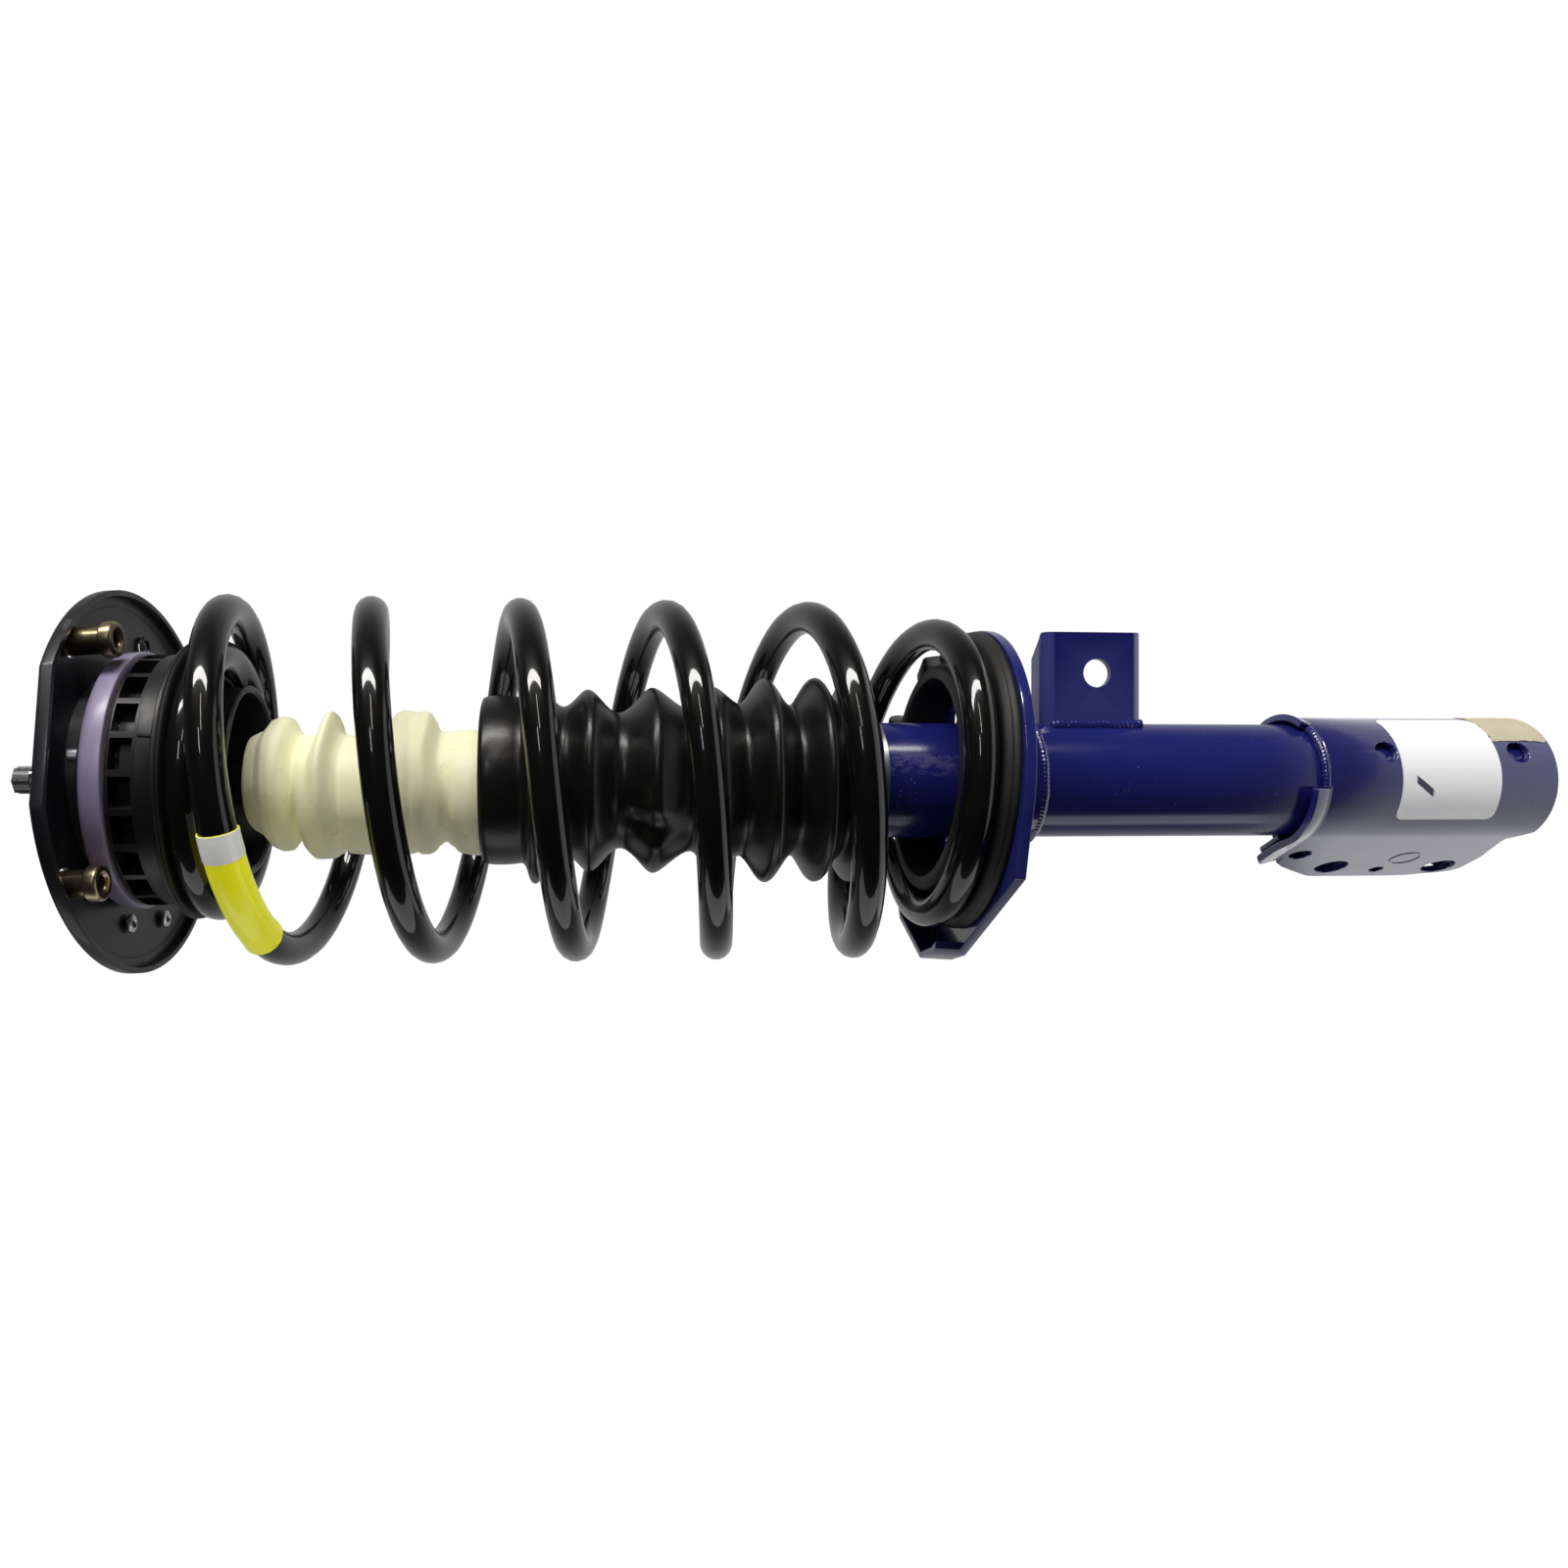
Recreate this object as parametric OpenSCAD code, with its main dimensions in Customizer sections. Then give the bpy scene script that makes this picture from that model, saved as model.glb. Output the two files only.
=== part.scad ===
// Loaded MacPherson front strut: top mount, bearing, coil spring, damper and brackets.
// +Z runs along the strut towards the tower. The origin is the centre of the mount's upper face.

/* [Top mount] */
// Radius of the mount plate
plate_r = 81.9; // [81.6:0.1:84]
// How far the plate's centre lies from the rod
plate_shift = 14.3; // [14:0.1:15]
// Direction in which the plate's centre lies, in degrees from +X
plate_shift_dir = 68; // [60:1:76]
// Distance from the rod to the plate's flat side
plate_flat = 63.4; // [62:0.2:65]
// Direction of the flat side, in degrees from +X
plate_flat_dir = 257.4; // [250:0.2:262]
// Thickness of the plate's steel
plate_t = 2.5; // [2:0.1:2.7]
// Depth of the plate's turned-down edge
plate_depth = 5.5; // [4:0.5:10]
// Angle that the tower face leans from square
mount_lean = 5.3; // [0:0.1:5.6]
// Direction in which the tower face rises, in degrees from +X
mount_lean_dir = 281; // [260:1:300]
// Height of the rubber bush's dome above the plate
dome_h = 16; // [13:0.5:16]
// Radius of the rubber bush
bush_r = 30; // [29.5:0.5:31]
// Outer radius of a threaded sleeve
sleeve_r = 7; // [6:0.1:7.1]
// Thread core radius of a sleeve
sleeve_bore_r = 3.4; // [3:0.05:5]

/* [Bearing] */
// Height of the bearing's upper ring
ring_h = 8.8; // [7:0.2:12]
// Outer radius of the bearing's upper ring
ring_r = 53.7; // [53:0.1:56]
// Radius of the ball circle
ball_pcr = 46; // [45.5:0.1:46.5]
// Radius of a ball
ball_r = 2.5; // [2:0.1:2.6]
// Number of balls
ball_count = 24; // [16:1:28]
// Height of the ribbed housing below the race
housing_h = 20; // [17:0.5:24]
// Radius of the housing's spring flange
flange_r = 57.5; // [56:0.5:62]
// Number of ribs round the housing
rib_count = 22; // [12:1:30]
// Length of the cup below the spring flange
cup_len = 21.5; // [12:0.5:26]
// Outer radius of the cup
cup_r = 39.2; // [37:0.1:40]

/* [Spring] */
// Diameter of the spring wire
wire_d = 13.8; // [11:0.1:14]
// Radius of the active coils, to the wire's centre
coil_r = 71.1; // [70:0.1:76]
// Radius of the upper dead coil, to the wire's centre
coil_top_r = 52; // [51.8:0.1:52.4]
// Radius of the lower dead coil, to the wire's centre
coil_low_r = 58.5; // [58.2:0.1:58.8]
// Turns from the upper dead coil to the lower one
coil_turns = 5.05; // [4.8:0.05:5.2]
// Thickness of the rubber under the flange
top_rubber_t = 2.5; // [2:0.1:4]
// Thickness of the rubber on the lower seat
low_rubber_t = 6.8; // [5:0.1:9]

/* [Rod and bump stop] */
// Radius of the piston rod
rod_r = 10; // [9:0.1:11]
// Radius of the rod's thread
thread_r = 6; // [5:0.1:6.5]
// Height of the rod's tip above the tower face
rod_tip_h = 39; // [37:0.5:44]
// Length of the bump stop
bump_len = 102; // [90:0.5:110]
// Radius of the bump stop's lobes
bump_r = 30.8; // [29:0.1:33]
// Compression travel of the strut
travel = 148; // [120:1:150]
// Radius of the boot's ribs
boot_r = 45; // [42:0.5:48]
// Radius of the boot's waists
boot_waist_r = 32.5; // [31:0.1:34]
// Number of the boot's ribs
boot_ribs = 7; // [5:1:9]
// Wall of the boot
boot_wall = 1.8; // [1.2:0.1:2.4]

/* [Damper tube] */
// Outer radius of the reserve tube
tube_r = 25.4; // [24.6:0.1:25.6]
// Wall of the reserve tube
tube_wall = 2.2; // [1.6:0.1:2.8]
// Length of the reserve tube
tube_len = 319; // [305:1:325]
// Bore radius of the pressure tube
bore_r = 15; // [14:0.1:16]
// Wall of the pressure tube
bore_wall = 1.2; // [1:0.1:1.8]

/* [Lower seat] */
// Height of the seat's floor above the foot of the tube
seat_h = 260; // [250:1:270]
// Radius of the seat's floor
seat_r = 69.5; // [69.2:0.1:71]
// Thickness of the seat's steel
seat_t = 3; // [2.5:0.1:3.5]
// Angle that the seat leans from square
seat_lean = 4; // [0:0.2:4.4]
// Direction in which the seat falls, in degrees from +X
seat_lean_dir = 334; // [0:1:359]

/* [Brackets] */
// Direction of the link bracket, in degrees from +X
link_dir = -26; // [-40:1:-10]
// Distance from the seat's floor down to the middle of the link bracket
link_drop = 56.8; // [54:0.2:66]
// Length of the link bracket along the tube
link_len = 46; // [40:0.5:50]
// Reach of the link bracket from the tube's axis
link_reach = 65.8; // [60:0.2:72]
// Distance of the link hole from the tube's axis
link_hole_x = 47.6; // [44:0.2:50]
// Radius of the link hole
link_hole_r = 6.3; // [5:0.1:7]
// Thickness of the bracket steel
bracket_t = 3.2; // [2.6:0.1:3.6]
// Length of the knuckle bracket along the tube
knuckle_len = 112; // [106:1:120]
// Distance of the knuckle bolts from the tube's axis
knuckle_bolt_y = 36.5; // [36.4:0.1:39]
// Height of the lower knuckle bolt above the foot of the tube
knuckle_bolt_low = 17.2; // [16:0.2:20]
// Distance between the two knuckle bolts
knuckle_bolt_gap = 54.4; // [50:0.2:58]
// Radius of the knuckle bolt holes
knuckle_hole_r = 7.1; // [6:0.1:7.5]
// Reach of the knuckle bracket's ears from the tube's axis
ear_reach = 49; // [48:0.5:52]

/* [Hidden] */
$fn = 96;

// gaps: running fit, clearance between moving bodies, and clearance round soft parts
fit = 0.05;
gap = 0.3;
eps = 0.01;

// top mount, from the tower face down
land_z = -6.4;                      // the bearing ring's level seat under the plate
land_r = 50;                        // outer radius of that seat
core_top = 17.5;                    // top of the steel core
core_foot = -8;                     // the core's foot, where the rod's shoulder bears
core_r = 10;
core_flange_r = 16;
core_flange_t = 3;
dome_wall = 2.5;
washer_t = 2.5;
washer_r = 24;
rod_nut_h = 9.5;
rod_nut_r = 11;
tip_h = 7;                          // length of the rod's hex tip
tip_r = 5.9;
// places on the plate: direction, distance from the rod as a share of plate_r, and each sleeve's
// length as a share of its diameter
sleeve_places = [[203.5, 0.7485, 1.143], [303.2, 0.7705, 1.429], [72, 1.0256, 1.286]];
rivet_places = [[152.4, 0.7424], [125, 0.8779]];
plate_hole_at = [0.8, 0.8095];
rivet_r = 2.6;
plate_hole_r = 3;

// bearing
ring_z = land_z - ring_h;           // underside of the upper ring
housing_top = ring_z - gap;
ball_z = ring_z - gap / 2;
ring_bore_r = 40;
race_w = 8;                         // width of the recess that holds the cage
race_d = 1.5;                       // its depth in each half
cage_h = 1.5;
cage_w = 7.2;
housing_foot = housing_top - housing_h;
housing_rim_r = 52.5;
housing_rim_h = 4;
housing_neck_r = 45.5;
flange_t = 4.5;
rib_t = 2.2;
cup_wall = 2.5;
iso_out = 6.5;                      // upper isolator: reach beyond the coil, wall and height
iso_wall = 2.2;
iso_h = 9;
cup_mouth = housing_foot - cup_len;
cup_top = housing_top - 4.5;
cup_hole_r = 17;

// spring
wire_r = wire_d / 2;
soft_gap = 0.1;
coil_top_z = housing_foot - top_rubber_t - wire_r - soft_gap;
coil_steps = 24;                    // rings in a turn
coil_sides = 10;
coil_first = -33;                   // ring numbers of the wire's two ends
coil_last = 134;
coil_front_dir = 244;               // where a turn is counted from
tag_first = 1;
tag_last = 4;
tag_gap = 0.15;
tag_t = 0.7;

// rod, bump stop and boot
rod_foot = -387;
bump_top = cup_mouth + 1;
bump_foot = bump_top - bump_len;
bump_end_r = 26.8;
boot_top = bump_foot + 5;
boot_lip = 2;
boot_collar_r = 36.5;
boot_collar_h = 17;
boot_foot = -321;
stop_gap = 1;

// damper
cap_top = bump_foot - stop_gap - travel;
cap_t = 2.5;
cap_r = tube_r + 1.6;
cap_skirt = 18;
cap_hole_r = rod_r + 1;
tube_top = cap_top - cap_t;
tube_foot = tube_top - tube_len + cap_t;
tube_bore_r = tube_r - tube_wall;
seal_h = 4;
guide_h = 18;
guide_top = tube_top - seal_h;
guide_foot = guide_top - guide_h;
rebound_h = 10;
rebound_r = 13.5;
piston_h = 20;
piston_z = rod_foot + 14;           // underside of the piston
piston_nut_h = 9;
base_cup_t = 5;
base_valve_h = 14;
base_valve_foot = tube_foot + base_cup_t;
base_spigot_h = 9;

// lower seat
seat_z = tube_foot + seat_h;
seat_shift = 3;                     // the pan lies off the tube's axis, against its fall
seat_skirt = 1.5;
seat_skirt_t = 2.5;
neck_r = tube_r + 2.8;
neck_len = 26;
// the lobe's corners, and where it leaves the pan: direction, and reach as a share of seat_r
lobe_edge = [[213.6, 1.096], [158.4, 1.118], [147, 1.188], [121, 1.174], [94.5, 1.096]];
lobe_roots = [[234.5, 0.9985], [73.3, 0.9985]];
lobe_lip_h = 14;
lobe_lip_dirs = [95, 128, 162];     // the lip runs between the first and the last of these
window_r = 5;
window_pcr = 35;
window_dirs = [127, 247, 7];
hub_r = [44, 50.5];
hub_h = 18;
low_rubber_r = 63.4;
low_lip_r = 64.8;
low_lip_h = 2.5;
stop_dir = 5;                       // the coil-end stop, and the angle that it covers
stop_sweep = 8;
stop_h = 12;
stop_w = 9;
coil_low_z = seat_z + low_rubber_t + wire_r + gap;
coil_pitch = (coil_top_z - coil_low_z) / coil_turns;

// brackets
link_z = seat_z - link_drop;
link_face = -8;                     // front face of the link bracket's web
link_depth = 14;
link_bend = 5;
link_hole_z = link_z - 1.6;
wrap_r = tube_r + bracket_t;
knuckle_top = tube_foot + knuckle_len;
knuckle_bolts = [tube_foot + knuckle_bolt_low, tube_foot + knuckle_bolt_low + knuckle_bolt_gap];
lip_out = 5.4;                      // the flared lip's reach beyond the wrap, and its height
lip_h = 9;
lip_reach = 28;
lip_sweep = 55;                     // angle that the lip covers on each side of the wrap
lip_lap = 0.1;                      // the lip's straight run stands this much proud of its curve
brace_back = tube_r + 0.1;
brace_inset = 2;                    // how far the brace keeps inside the ears' outline
window_heights = [16.7, 78.7];      // the wrap's two round windows, above the foot of the tube
wrap_window_r = 4.8;
clip_hole_at = [40, 46.5];          // small hole: distance from the axis, height above the foot
clip_hole_r = 3;
locator_at = [21, 96.8];            // locating hole, given the same way
locator_r = 4.8;
knockout_at = [25.6, 41.6];         // pressed ring, given the same way
knockout_r = 6.8;
weld_r = 2;
label_t = 0.25;
label_gap = 0.1;
label_dirs = [207, 314];
label_heights = [27.3, 73.2];
tape_dirs = [281, 334];
tape_heights = [1, 27];

// ---------------------------------------------------------------- helpers

// a washer-like ring between two heights
module ring(outer, inner, low, high) {
    translate([0, 0, low]) difference() {
        cylinder(r = outer, h = high - low);
        translate([0, 0, -1]) cylinder(r = inner, h = high - low + 2);
    }
}

// leans its children so that the tower face rises towards mount_lean_dir
module tower_lean() {
    rotate(a = mount_lean, v = [cos(mount_lean_dir - 90), sin(mount_lean_dir - 90), 0]) children();
}

// leans its children about the seat's middle so that the seat falls towards seat_lean_dir
module seat_tilt() {
    translate([0, 0, seat_z])
        rotate(a = seat_lean, v = [cos(seat_lean_dir + 90), sin(seat_lean_dir + 90), 0])
            translate([0, 0, -seat_z]) children();
}

function ease(s) = s <= 0 ? 0 : s >= 1 ? 1 : s * s * (3 - 2 * s);

// the spring's centre line, counted in turns from the first active front
function coil_radius(u) = coil_r + (coil_top_r - coil_r) * (1 - ease((u + 0.78) / 0.53))
    + (coil_low_r - coil_r) * ease((u - coil_turns + 0.7) / 0.8);
function coil_fall(u) = u < -0.5 ? 0
    : u < 0 ? (u + 0.5) * (u + 0.5)
    : u < coil_turns - 0.5 ? u + 0.25
    : u < coil_turns ? u + 0.25 - (u - coil_turns + 0.5) * (u - coil_turns + 0.5)
    : coil_turns;
function coil_share(u) = min(1, max(0, u / coil_turns));
function coil_point(u) = let (
        dir = coil_front_dir - 360 * u,
        r = coil_radius(u),
        side = r * cos(dir - seat_lean_dir)
    ) [r * cos(dir), r * sin(dir),
       coil_top_z - coil_pitch * coil_fall(u) - tan(seat_lean) * side * coil_share(u)];
function unit(v) = v / norm(v);

// one ring of points round the centre line at step i
function wire_ring(i, r) = let (
        u = i / coil_steps,
        p = coil_point(u),
        along = unit(coil_point(u + 0.002) - coil_point(u - 0.002)),
        out = unit([p.x, p.y, 0]),
        up = unit(cross(along, out)),
        side = cross(up, along)
    ) [for (k = [0 : coil_sides - 1])
        p + r * (cos(360 * k / coil_sides) * side + sin(360 * k / coil_sides) * up)];

// the skin of a tube along the spring's centre line: quads of two triangles between rings
function skin(rings, from, flip) = [for (i = [0 : rings - 2]) for (k = [0 : coil_sides - 1])
    let (
        p = from + i * coil_sides + k,
        q = from + i * coil_sides + (k + 1) % coil_sides
    ) each flip ? [[p, q + coil_sides, q], [p, p + coil_sides, q + coil_sides]]
        : [[p, q, q + coil_sides], [p, q + coil_sides, p + coil_sides]]];

// a solid tube along the spring's centre line from ring a to ring b
module wire_tube(a, b, r) {
    last = (b - a) * coil_sides;
    ends = [for (k = [1 : coil_sides - 2]) each [[0, k + 1, k], [last, last + k, last + k + 1]]];
    polyhedron(points = [for (i = [a : b]) each wire_ring(i, r)],
        faces = concat(skin(b - a + 1, 0, false), ends));
}

// a sleeve round the wire from ring a to ring b
module wire_sleeve(a, b, r, t) {
    n = (b - a + 1) * coil_sides;       // the inner skin's first point
    last = n - coil_sides;
    ends = [for (k = [0 : coil_sides - 1]) let (q = (k + 1) % coil_sides)
        each [[k, n + k, n + q], [k, n + q, q],
            [last + k, n + last + q, n + last + k], [last + k, last + q, n + last + q]]];
    polyhedron(
        points = concat([for (i = [a : b]) each wire_ring(i, r + t)],
            [for (i = [a : b]) each wire_ring(i, r)]),
        faces = concat(skin(b - a + 1, 0, false), skin(b - a + 1, n, true), ends));
}

// least gap between turns of the wire
coil_points = [for (i = [coil_first : coil_last]) coil_point(i / coil_steps)];
coil_gap = min([for (i = [0 : len(coil_points) - 1])
    for (j = [i + coil_steps / 2 : len(coil_points) - 1]) norm(coil_points[i] - coil_points[j])]) - wire_d;
echo(least_gap_between_coils = coil_gap);

// ---------------------------------------------------------------- top mount

module plate_outline(inset) intersection() {
    rotate(plate_shift_dir) translate([plate_shift, 0]) circle(r = plate_r - inset);
    rotate(plate_flat_dir) translate([plate_flat - inset - 3 * plate_r, -2 * plate_r])
        square([3 * plate_r, 4 * plate_r]);
}

// puts its children at a place on the plate
module plate_place(place) tower_lean() rotate(place[0]) translate([place[1] * plate_r, 0, 0]) children();

module mount_plate() color([0.16, 0.16, 0.18]) difference() {
    union() {
        tower_lean() difference() {
            translate([0, 0, -plate_depth]) linear_extrude(plate_depth) plate_outline(0);
            translate([0, 0, -plate_depth - 1]) linear_extrude(plate_depth + 1 - plate_t)
                plate_outline(plate_t);
        }
        difference() {
            translate([0, 0, land_z]) cylinder(r = land_r, h = 4 * plate_depth);
            tower_lean() cylinder(r = land_r * 2, h = 8 * plate_depth);
        }
    }
    // room for the bearing's ring, the bush and the dome
    translate([0, 0, land_z - 20]) cylinder(r = ring_r + gap, h = 20);
    tower_lean() translate([0, 0, -20]) cylinder(r = bush_r, h = 40);
    tower_lean() translate([0, 0, -plate_t]) cylinder(r = bush_r + dome_wall, h = 20);
    for (place = sleeve_places) plate_place(place) cylinder(r = sleeve_r, h = 40, center = true);
    for (place = rivet_places) plate_place(place) cylinder(r = rivet_r, h = 40, center = true);
    plate_place(plate_hole_at) cylinder(r = plate_hole_r, h = 40, center = true);
}

module mount_dome() color([0.14, 0.14, 0.16]) tower_lean() {
    ring(bush_r + dome_wall, bush_r, -plate_t, dome_h);
    ring(bush_r + eps, bush_r - 4, dome_h - dome_wall, dome_h);
}

module tower_nuts() color([0.72, 0.6, 0.3])
    for (place = sleeve_places) plate_place(place) ring(sleeve_r, sleeve_bore_r, -place[2] * 2 * sleeve_r, 0);

module plate_rivets() color([0.5, 0.5, 0.5])
    for (place = rivet_places) plate_place(place) difference() {
        union() {
            translate([0, 0, -plate_t]) cylinder(r = rivet_r, h = plate_t);
            translate([0, 0, -plate_t - 1.5]) cylinder(r = rivet_r + 1.5, h = 1.5);
        }
        translate([0, 0, -plate_t - 2]) cylinder(r = rivet_r - 1.2, h = plate_t + 3);
    }

module mount_rubber() color([0.06, 0.06, 0.06]) difference() {
    tower_lean() rotate_extrude() polygon([
        [0, core_foot + core_flange_t], [core_flange_r + 4, core_foot + core_flange_t],
        [bush_r, land_z + 2], [bush_r, dome_h - dome_wall], [bush_r - 4, dome_h - dome_wall],
        [core_r + 6, dome_h - 1], [0, dome_h - 1]]);
    translate([0, 0, core_foot - 1]) cylinder(r = core_r, h = core_top - core_foot + 10);
    translate([0, 0, core_foot - 1]) cylinder(r = core_flange_r, h = core_flange_t + 1);
}

module mount_core() color([0.55, 0.56, 0.58]) {
    ring(core_r, thread_r, core_foot, core_top);
    ring(core_flange_r, core_r - eps, core_foot, core_foot + core_flange_t);
}

module rebound_washer() color([0.6, 0.6, 0.62])
    ring(washer_r, thread_r, core_top, core_top + washer_t);

module rod_nut() color([0.62, 0.62, 0.6])
    translate([0, 0, core_top + washer_t]) difference() {
        cylinder(r = rod_nut_r, h = rod_nut_h, $fn = 6);
        translate([0, 0, -1]) cylinder(r = thread_r, h = rod_nut_h + 2);
    }

module piston_rod() color([0.78, 0.8, 0.82]) {
    translate([0, 0, piston_z + piston_h]) cylinder(r = rod_r, h = core_foot - piston_z - piston_h);
    translate([0, 0, rod_foot]) cylinder(r = thread_r, h = piston_z + piston_h - rod_foot);
    translate([0, 0, core_foot]) cylinder(r = thread_r, h = rod_tip_h - tip_h - core_foot);
    translate([0, 0, rod_tip_h - tip_h]) cylinder(r = tip_r, h = tip_h, $fn = 6);
}

module rebound_ring() color([0.2, 0.2, 0.2])
    ring(rebound_r, rod_r, guide_foot - gap - rebound_h, guide_foot - gap);

module piston() color([0.5, 0.5, 0.52]) difference() {
    ring(bore_r - fit, thread_r, piston_z, piston_z + piston_h);
    ring(bore_r + 1, bore_r - 1.5, piston_z + 5, piston_z + piston_h - 5);
    for (dir = [0 : 60 : 300]) rotate(dir) translate([10, 0, piston_z - 1])
        cylinder(r = 1.5, h = piston_h + 2);
}

module piston_band() color([0.15, 0.15, 0.16])
    ring(bore_r - fit, bore_r - 1.5, piston_z + 5, piston_z + piston_h - 5);

module piston_nut() color([0.62, 0.62, 0.6])
    translate([0, 0, piston_z - piston_nut_h]) difference() {
        cylinder(r = 10.5, h = piston_nut_h, $fn = 6);
        translate([0, 0, -1]) cylinder(r = thread_r, h = piston_nut_h + 2);
    }

// ---------------------------------------------------------------- bearing

// the ball track, cut into both races
module ball_track() translate([0, 0, ball_z])
    rotate_extrude() translate([ball_pcr, 0]) circle(r = ball_r + fit);

module bearing_top_ring() color([0.66, 0.64, 0.76]) difference() {
    ring(ring_r, ring_bore_r, ring_z, land_z);
    ring(ball_pcr + race_w / 2, ball_pcr - race_w / 2, ring_z - 1, ring_z + race_d);
    ball_track();
}

module bearing_balls() color([0.8, 0.8, 0.82])
    for (i = [0 : ball_count - 1]) rotate(360 * i / ball_count) translate([ball_pcr, 0, ball_z])
        sphere(r = ball_r);

module bearing_cage() color([0.85, 0.82, 0.7]) difference() {
    ring(ball_pcr + cage_w / 2, ball_pcr - cage_w / 2, ball_z - cage_h / 2, ball_z + cage_h / 2);
    for (i = [0 : ball_count - 1]) rotate(360 * i / ball_count) translate([ball_pcr, 0, ball_z - cage_h])
        cylinder(r = ball_r + fit, h = 2 * cage_h);
}

module bearing_seat() color([0.1, 0.1, 0.11]) difference() {
    union() {
        ring(housing_rim_r, cup_r, housing_top - housing_rim_h, housing_top);
        ring(housing_neck_r, cup_r, housing_foot + flange_t, housing_top - housing_rim_h);
        ring(flange_r, cup_r, housing_foot, housing_foot + flange_t);
        for (i = [0 : rib_count - 1]) rotate(360 * i / rib_count)
            translate([housing_neck_r - 1, -rib_t / 2, housing_foot + flange_t - eps])
                cube([housing_rim_r - housing_neck_r + 0.6, rib_t,
                    housing_h - flange_t - housing_rim_h + 2 * eps]);
    }
    ring(ball_pcr + race_w / 2, ball_pcr - race_w / 2, housing_top - race_d, housing_top + 1);
    ball_track();
}

module seat_cup() color([0.12, 0.12, 0.12]) {
    ring(cup_r, cup_r - cup_wall, cup_mouth, cup_top);
    ring(cup_r - cup_wall + eps, cup_hole_r, cup_top - cup_wall, cup_top);
}

module upper_isolator() color([0.05, 0.05, 0.05]) {
    ring(coil_top_r + iso_out, coil_top_r - wire_r - iso_wall, housing_foot - top_rubber_t, housing_foot);
    ring(coil_top_r - wire_r - gap, coil_top_r - wire_r - iso_wall, housing_foot - iso_h,
        housing_foot - top_rubber_t + eps);
}

// ---------------------------------------------------------------- spring

module coil_spring() color([0.04, 0.04, 0.04]) wire_tube(coil_first, coil_last, wire_r);

module spring_tag() color([0.92, 0.93, 0.1]) wire_sleeve(tag_first, tag_last, wire_r + tag_gap, tag_t);

// ---------------------------------------------------------------- bump stop and boot

module bump_stop() color([0.88, 0.88, 0.68]) rotate_extrude() polygon([
    [rod_r, bump_top], [20, bump_top], [24.3, bump_top - 3], [26, bump_top - 9],
    [bump_r - 0.4, bump_top - 14],
    [bump_r, bump_top - 20], [27, bump_top - 24.5], [27, bump_top - 28.5], [bump_r, bump_top - 33],
    [bump_r, bump_top - 40], [28, bump_top - 45], [28, bump_top - 52], [bump_r, bump_top - 58],
    [bump_r, bump_top - 75], [22.5, bump_top - 80], [22.5, bump_top - 84], [bump_end_r, bump_top - 88],
    [bump_end_r, bump_foot + 1], [bump_end_r - 1, bump_foot], [rod_r, bump_foot]]);

boot_pitch = (boot_top - boot_collar_h - boot_foot - 6) / boot_ribs;
function boot_rib(i) = let (z = boot_top - boot_collar_h - (i + 0.3) * boot_pitch)
    [[boot_r - 1.5, z + 4], [boot_r, z + 1.5], [boot_r, z - 1.5], [boot_r - 1.5, z - 4],
     [boot_waist_r, z - boot_pitch / 2 + 1], [boot_waist_r, z - boot_pitch / 2 - 1]];
boot_line = [[boot_collar_r, boot_top - boot_collar_h], for (i = [0 : boot_ribs - 1]) each boot_rib(i),
    [boot_waist_r, boot_foot]];

module dust_boot() color([0.05, 0.05, 0.05]) rotate_extrude() polygon(concat(
    [[bump_end_r, boot_top], [boot_collar_r, boot_top]], boot_line,
    [for (i = [len(boot_line) - 1 : -1 : 0]) boot_line[i] - [boot_wall, 0]],
    [[boot_collar_r - boot_wall, boot_top - boot_lip], [bump_end_r, boot_top - boot_lip]]));

// ---------------------------------------------------------------- damper

module reserve_tube() color([0.13, 0.16, 0.5]) ring(tube_r, tube_bore_r, tube_foot, tube_top);

module pressure_tube() color([0.6, 0.6, 0.62])
    ring(bore_r + bore_wall, bore_r, base_valve_foot + base_valve_h - base_spigot_h, guide_foot);

module rod_guide() color([0.45, 0.45, 0.46]) ring(tube_bore_r, rod_r + fit, guide_foot, guide_top);

module rod_seal() color([0.08, 0.08, 0.08]) ring(tube_bore_r, rod_r + fit, guide_top, tube_top);

module gland_cap() color([0.3, 0.3, 0.32]) {
    ring(cap_r, cap_hole_r, tube_top, cap_top);
    ring(cap_r, tube_r, cap_top - cap_skirt, tube_top + eps);
}

module base_valve() color([0.55, 0.55, 0.56]) {
    translate([0, 0, base_valve_foot]) cylinder(r = bore_r + 4, h = base_valve_h - base_spigot_h);
    translate([0, 0, base_valve_foot + base_valve_h - base_spigot_h - eps])
        cylinder(r = bore_r, h = base_spigot_h);
}

module base_cup() color([0.13, 0.16, 0.5])
    translate([0, 0, tube_foot]) cylinder(r = tube_bore_r, h = base_cup_t);

// ---------------------------------------------------------------- lower seat

function polar(place, inset) = (place[1] * seat_r - inset) * [cos(place[0]), sin(place[0])];

// the lobe and the straight side next to it
module lobe_outline(inset) polygon([polar(lobe_roots[0], inset), for (p = lobe_edge) polar(p, inset),
    polar(lobe_roots[1], inset)]);

// what lies beyond the side that the press has cut straight
module straight_cut(inset) let (
        a = polar(lobe_edge[0], 0),
        b = polar(lobe_edge[1], 0),
        out = unit([a.y - b.y, b.x - a.x])
    ) translate(-inset * out)
        polygon([2 * a - b, 2 * b - a, 2 * b - a + seat_r * out, 2 * a - b + seat_r * out]);

// the seat seen from above: a round pan off the tube's axis, its lobe and the straight side
module seat_outline(inset) difference() {
    union() {
        rotate(seat_lean_dir + 180) translate([seat_shift, 0]) circle(r = seat_r - inset);
        lobe_outline(inset);
    }
    straight_cut(inset);
}

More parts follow.
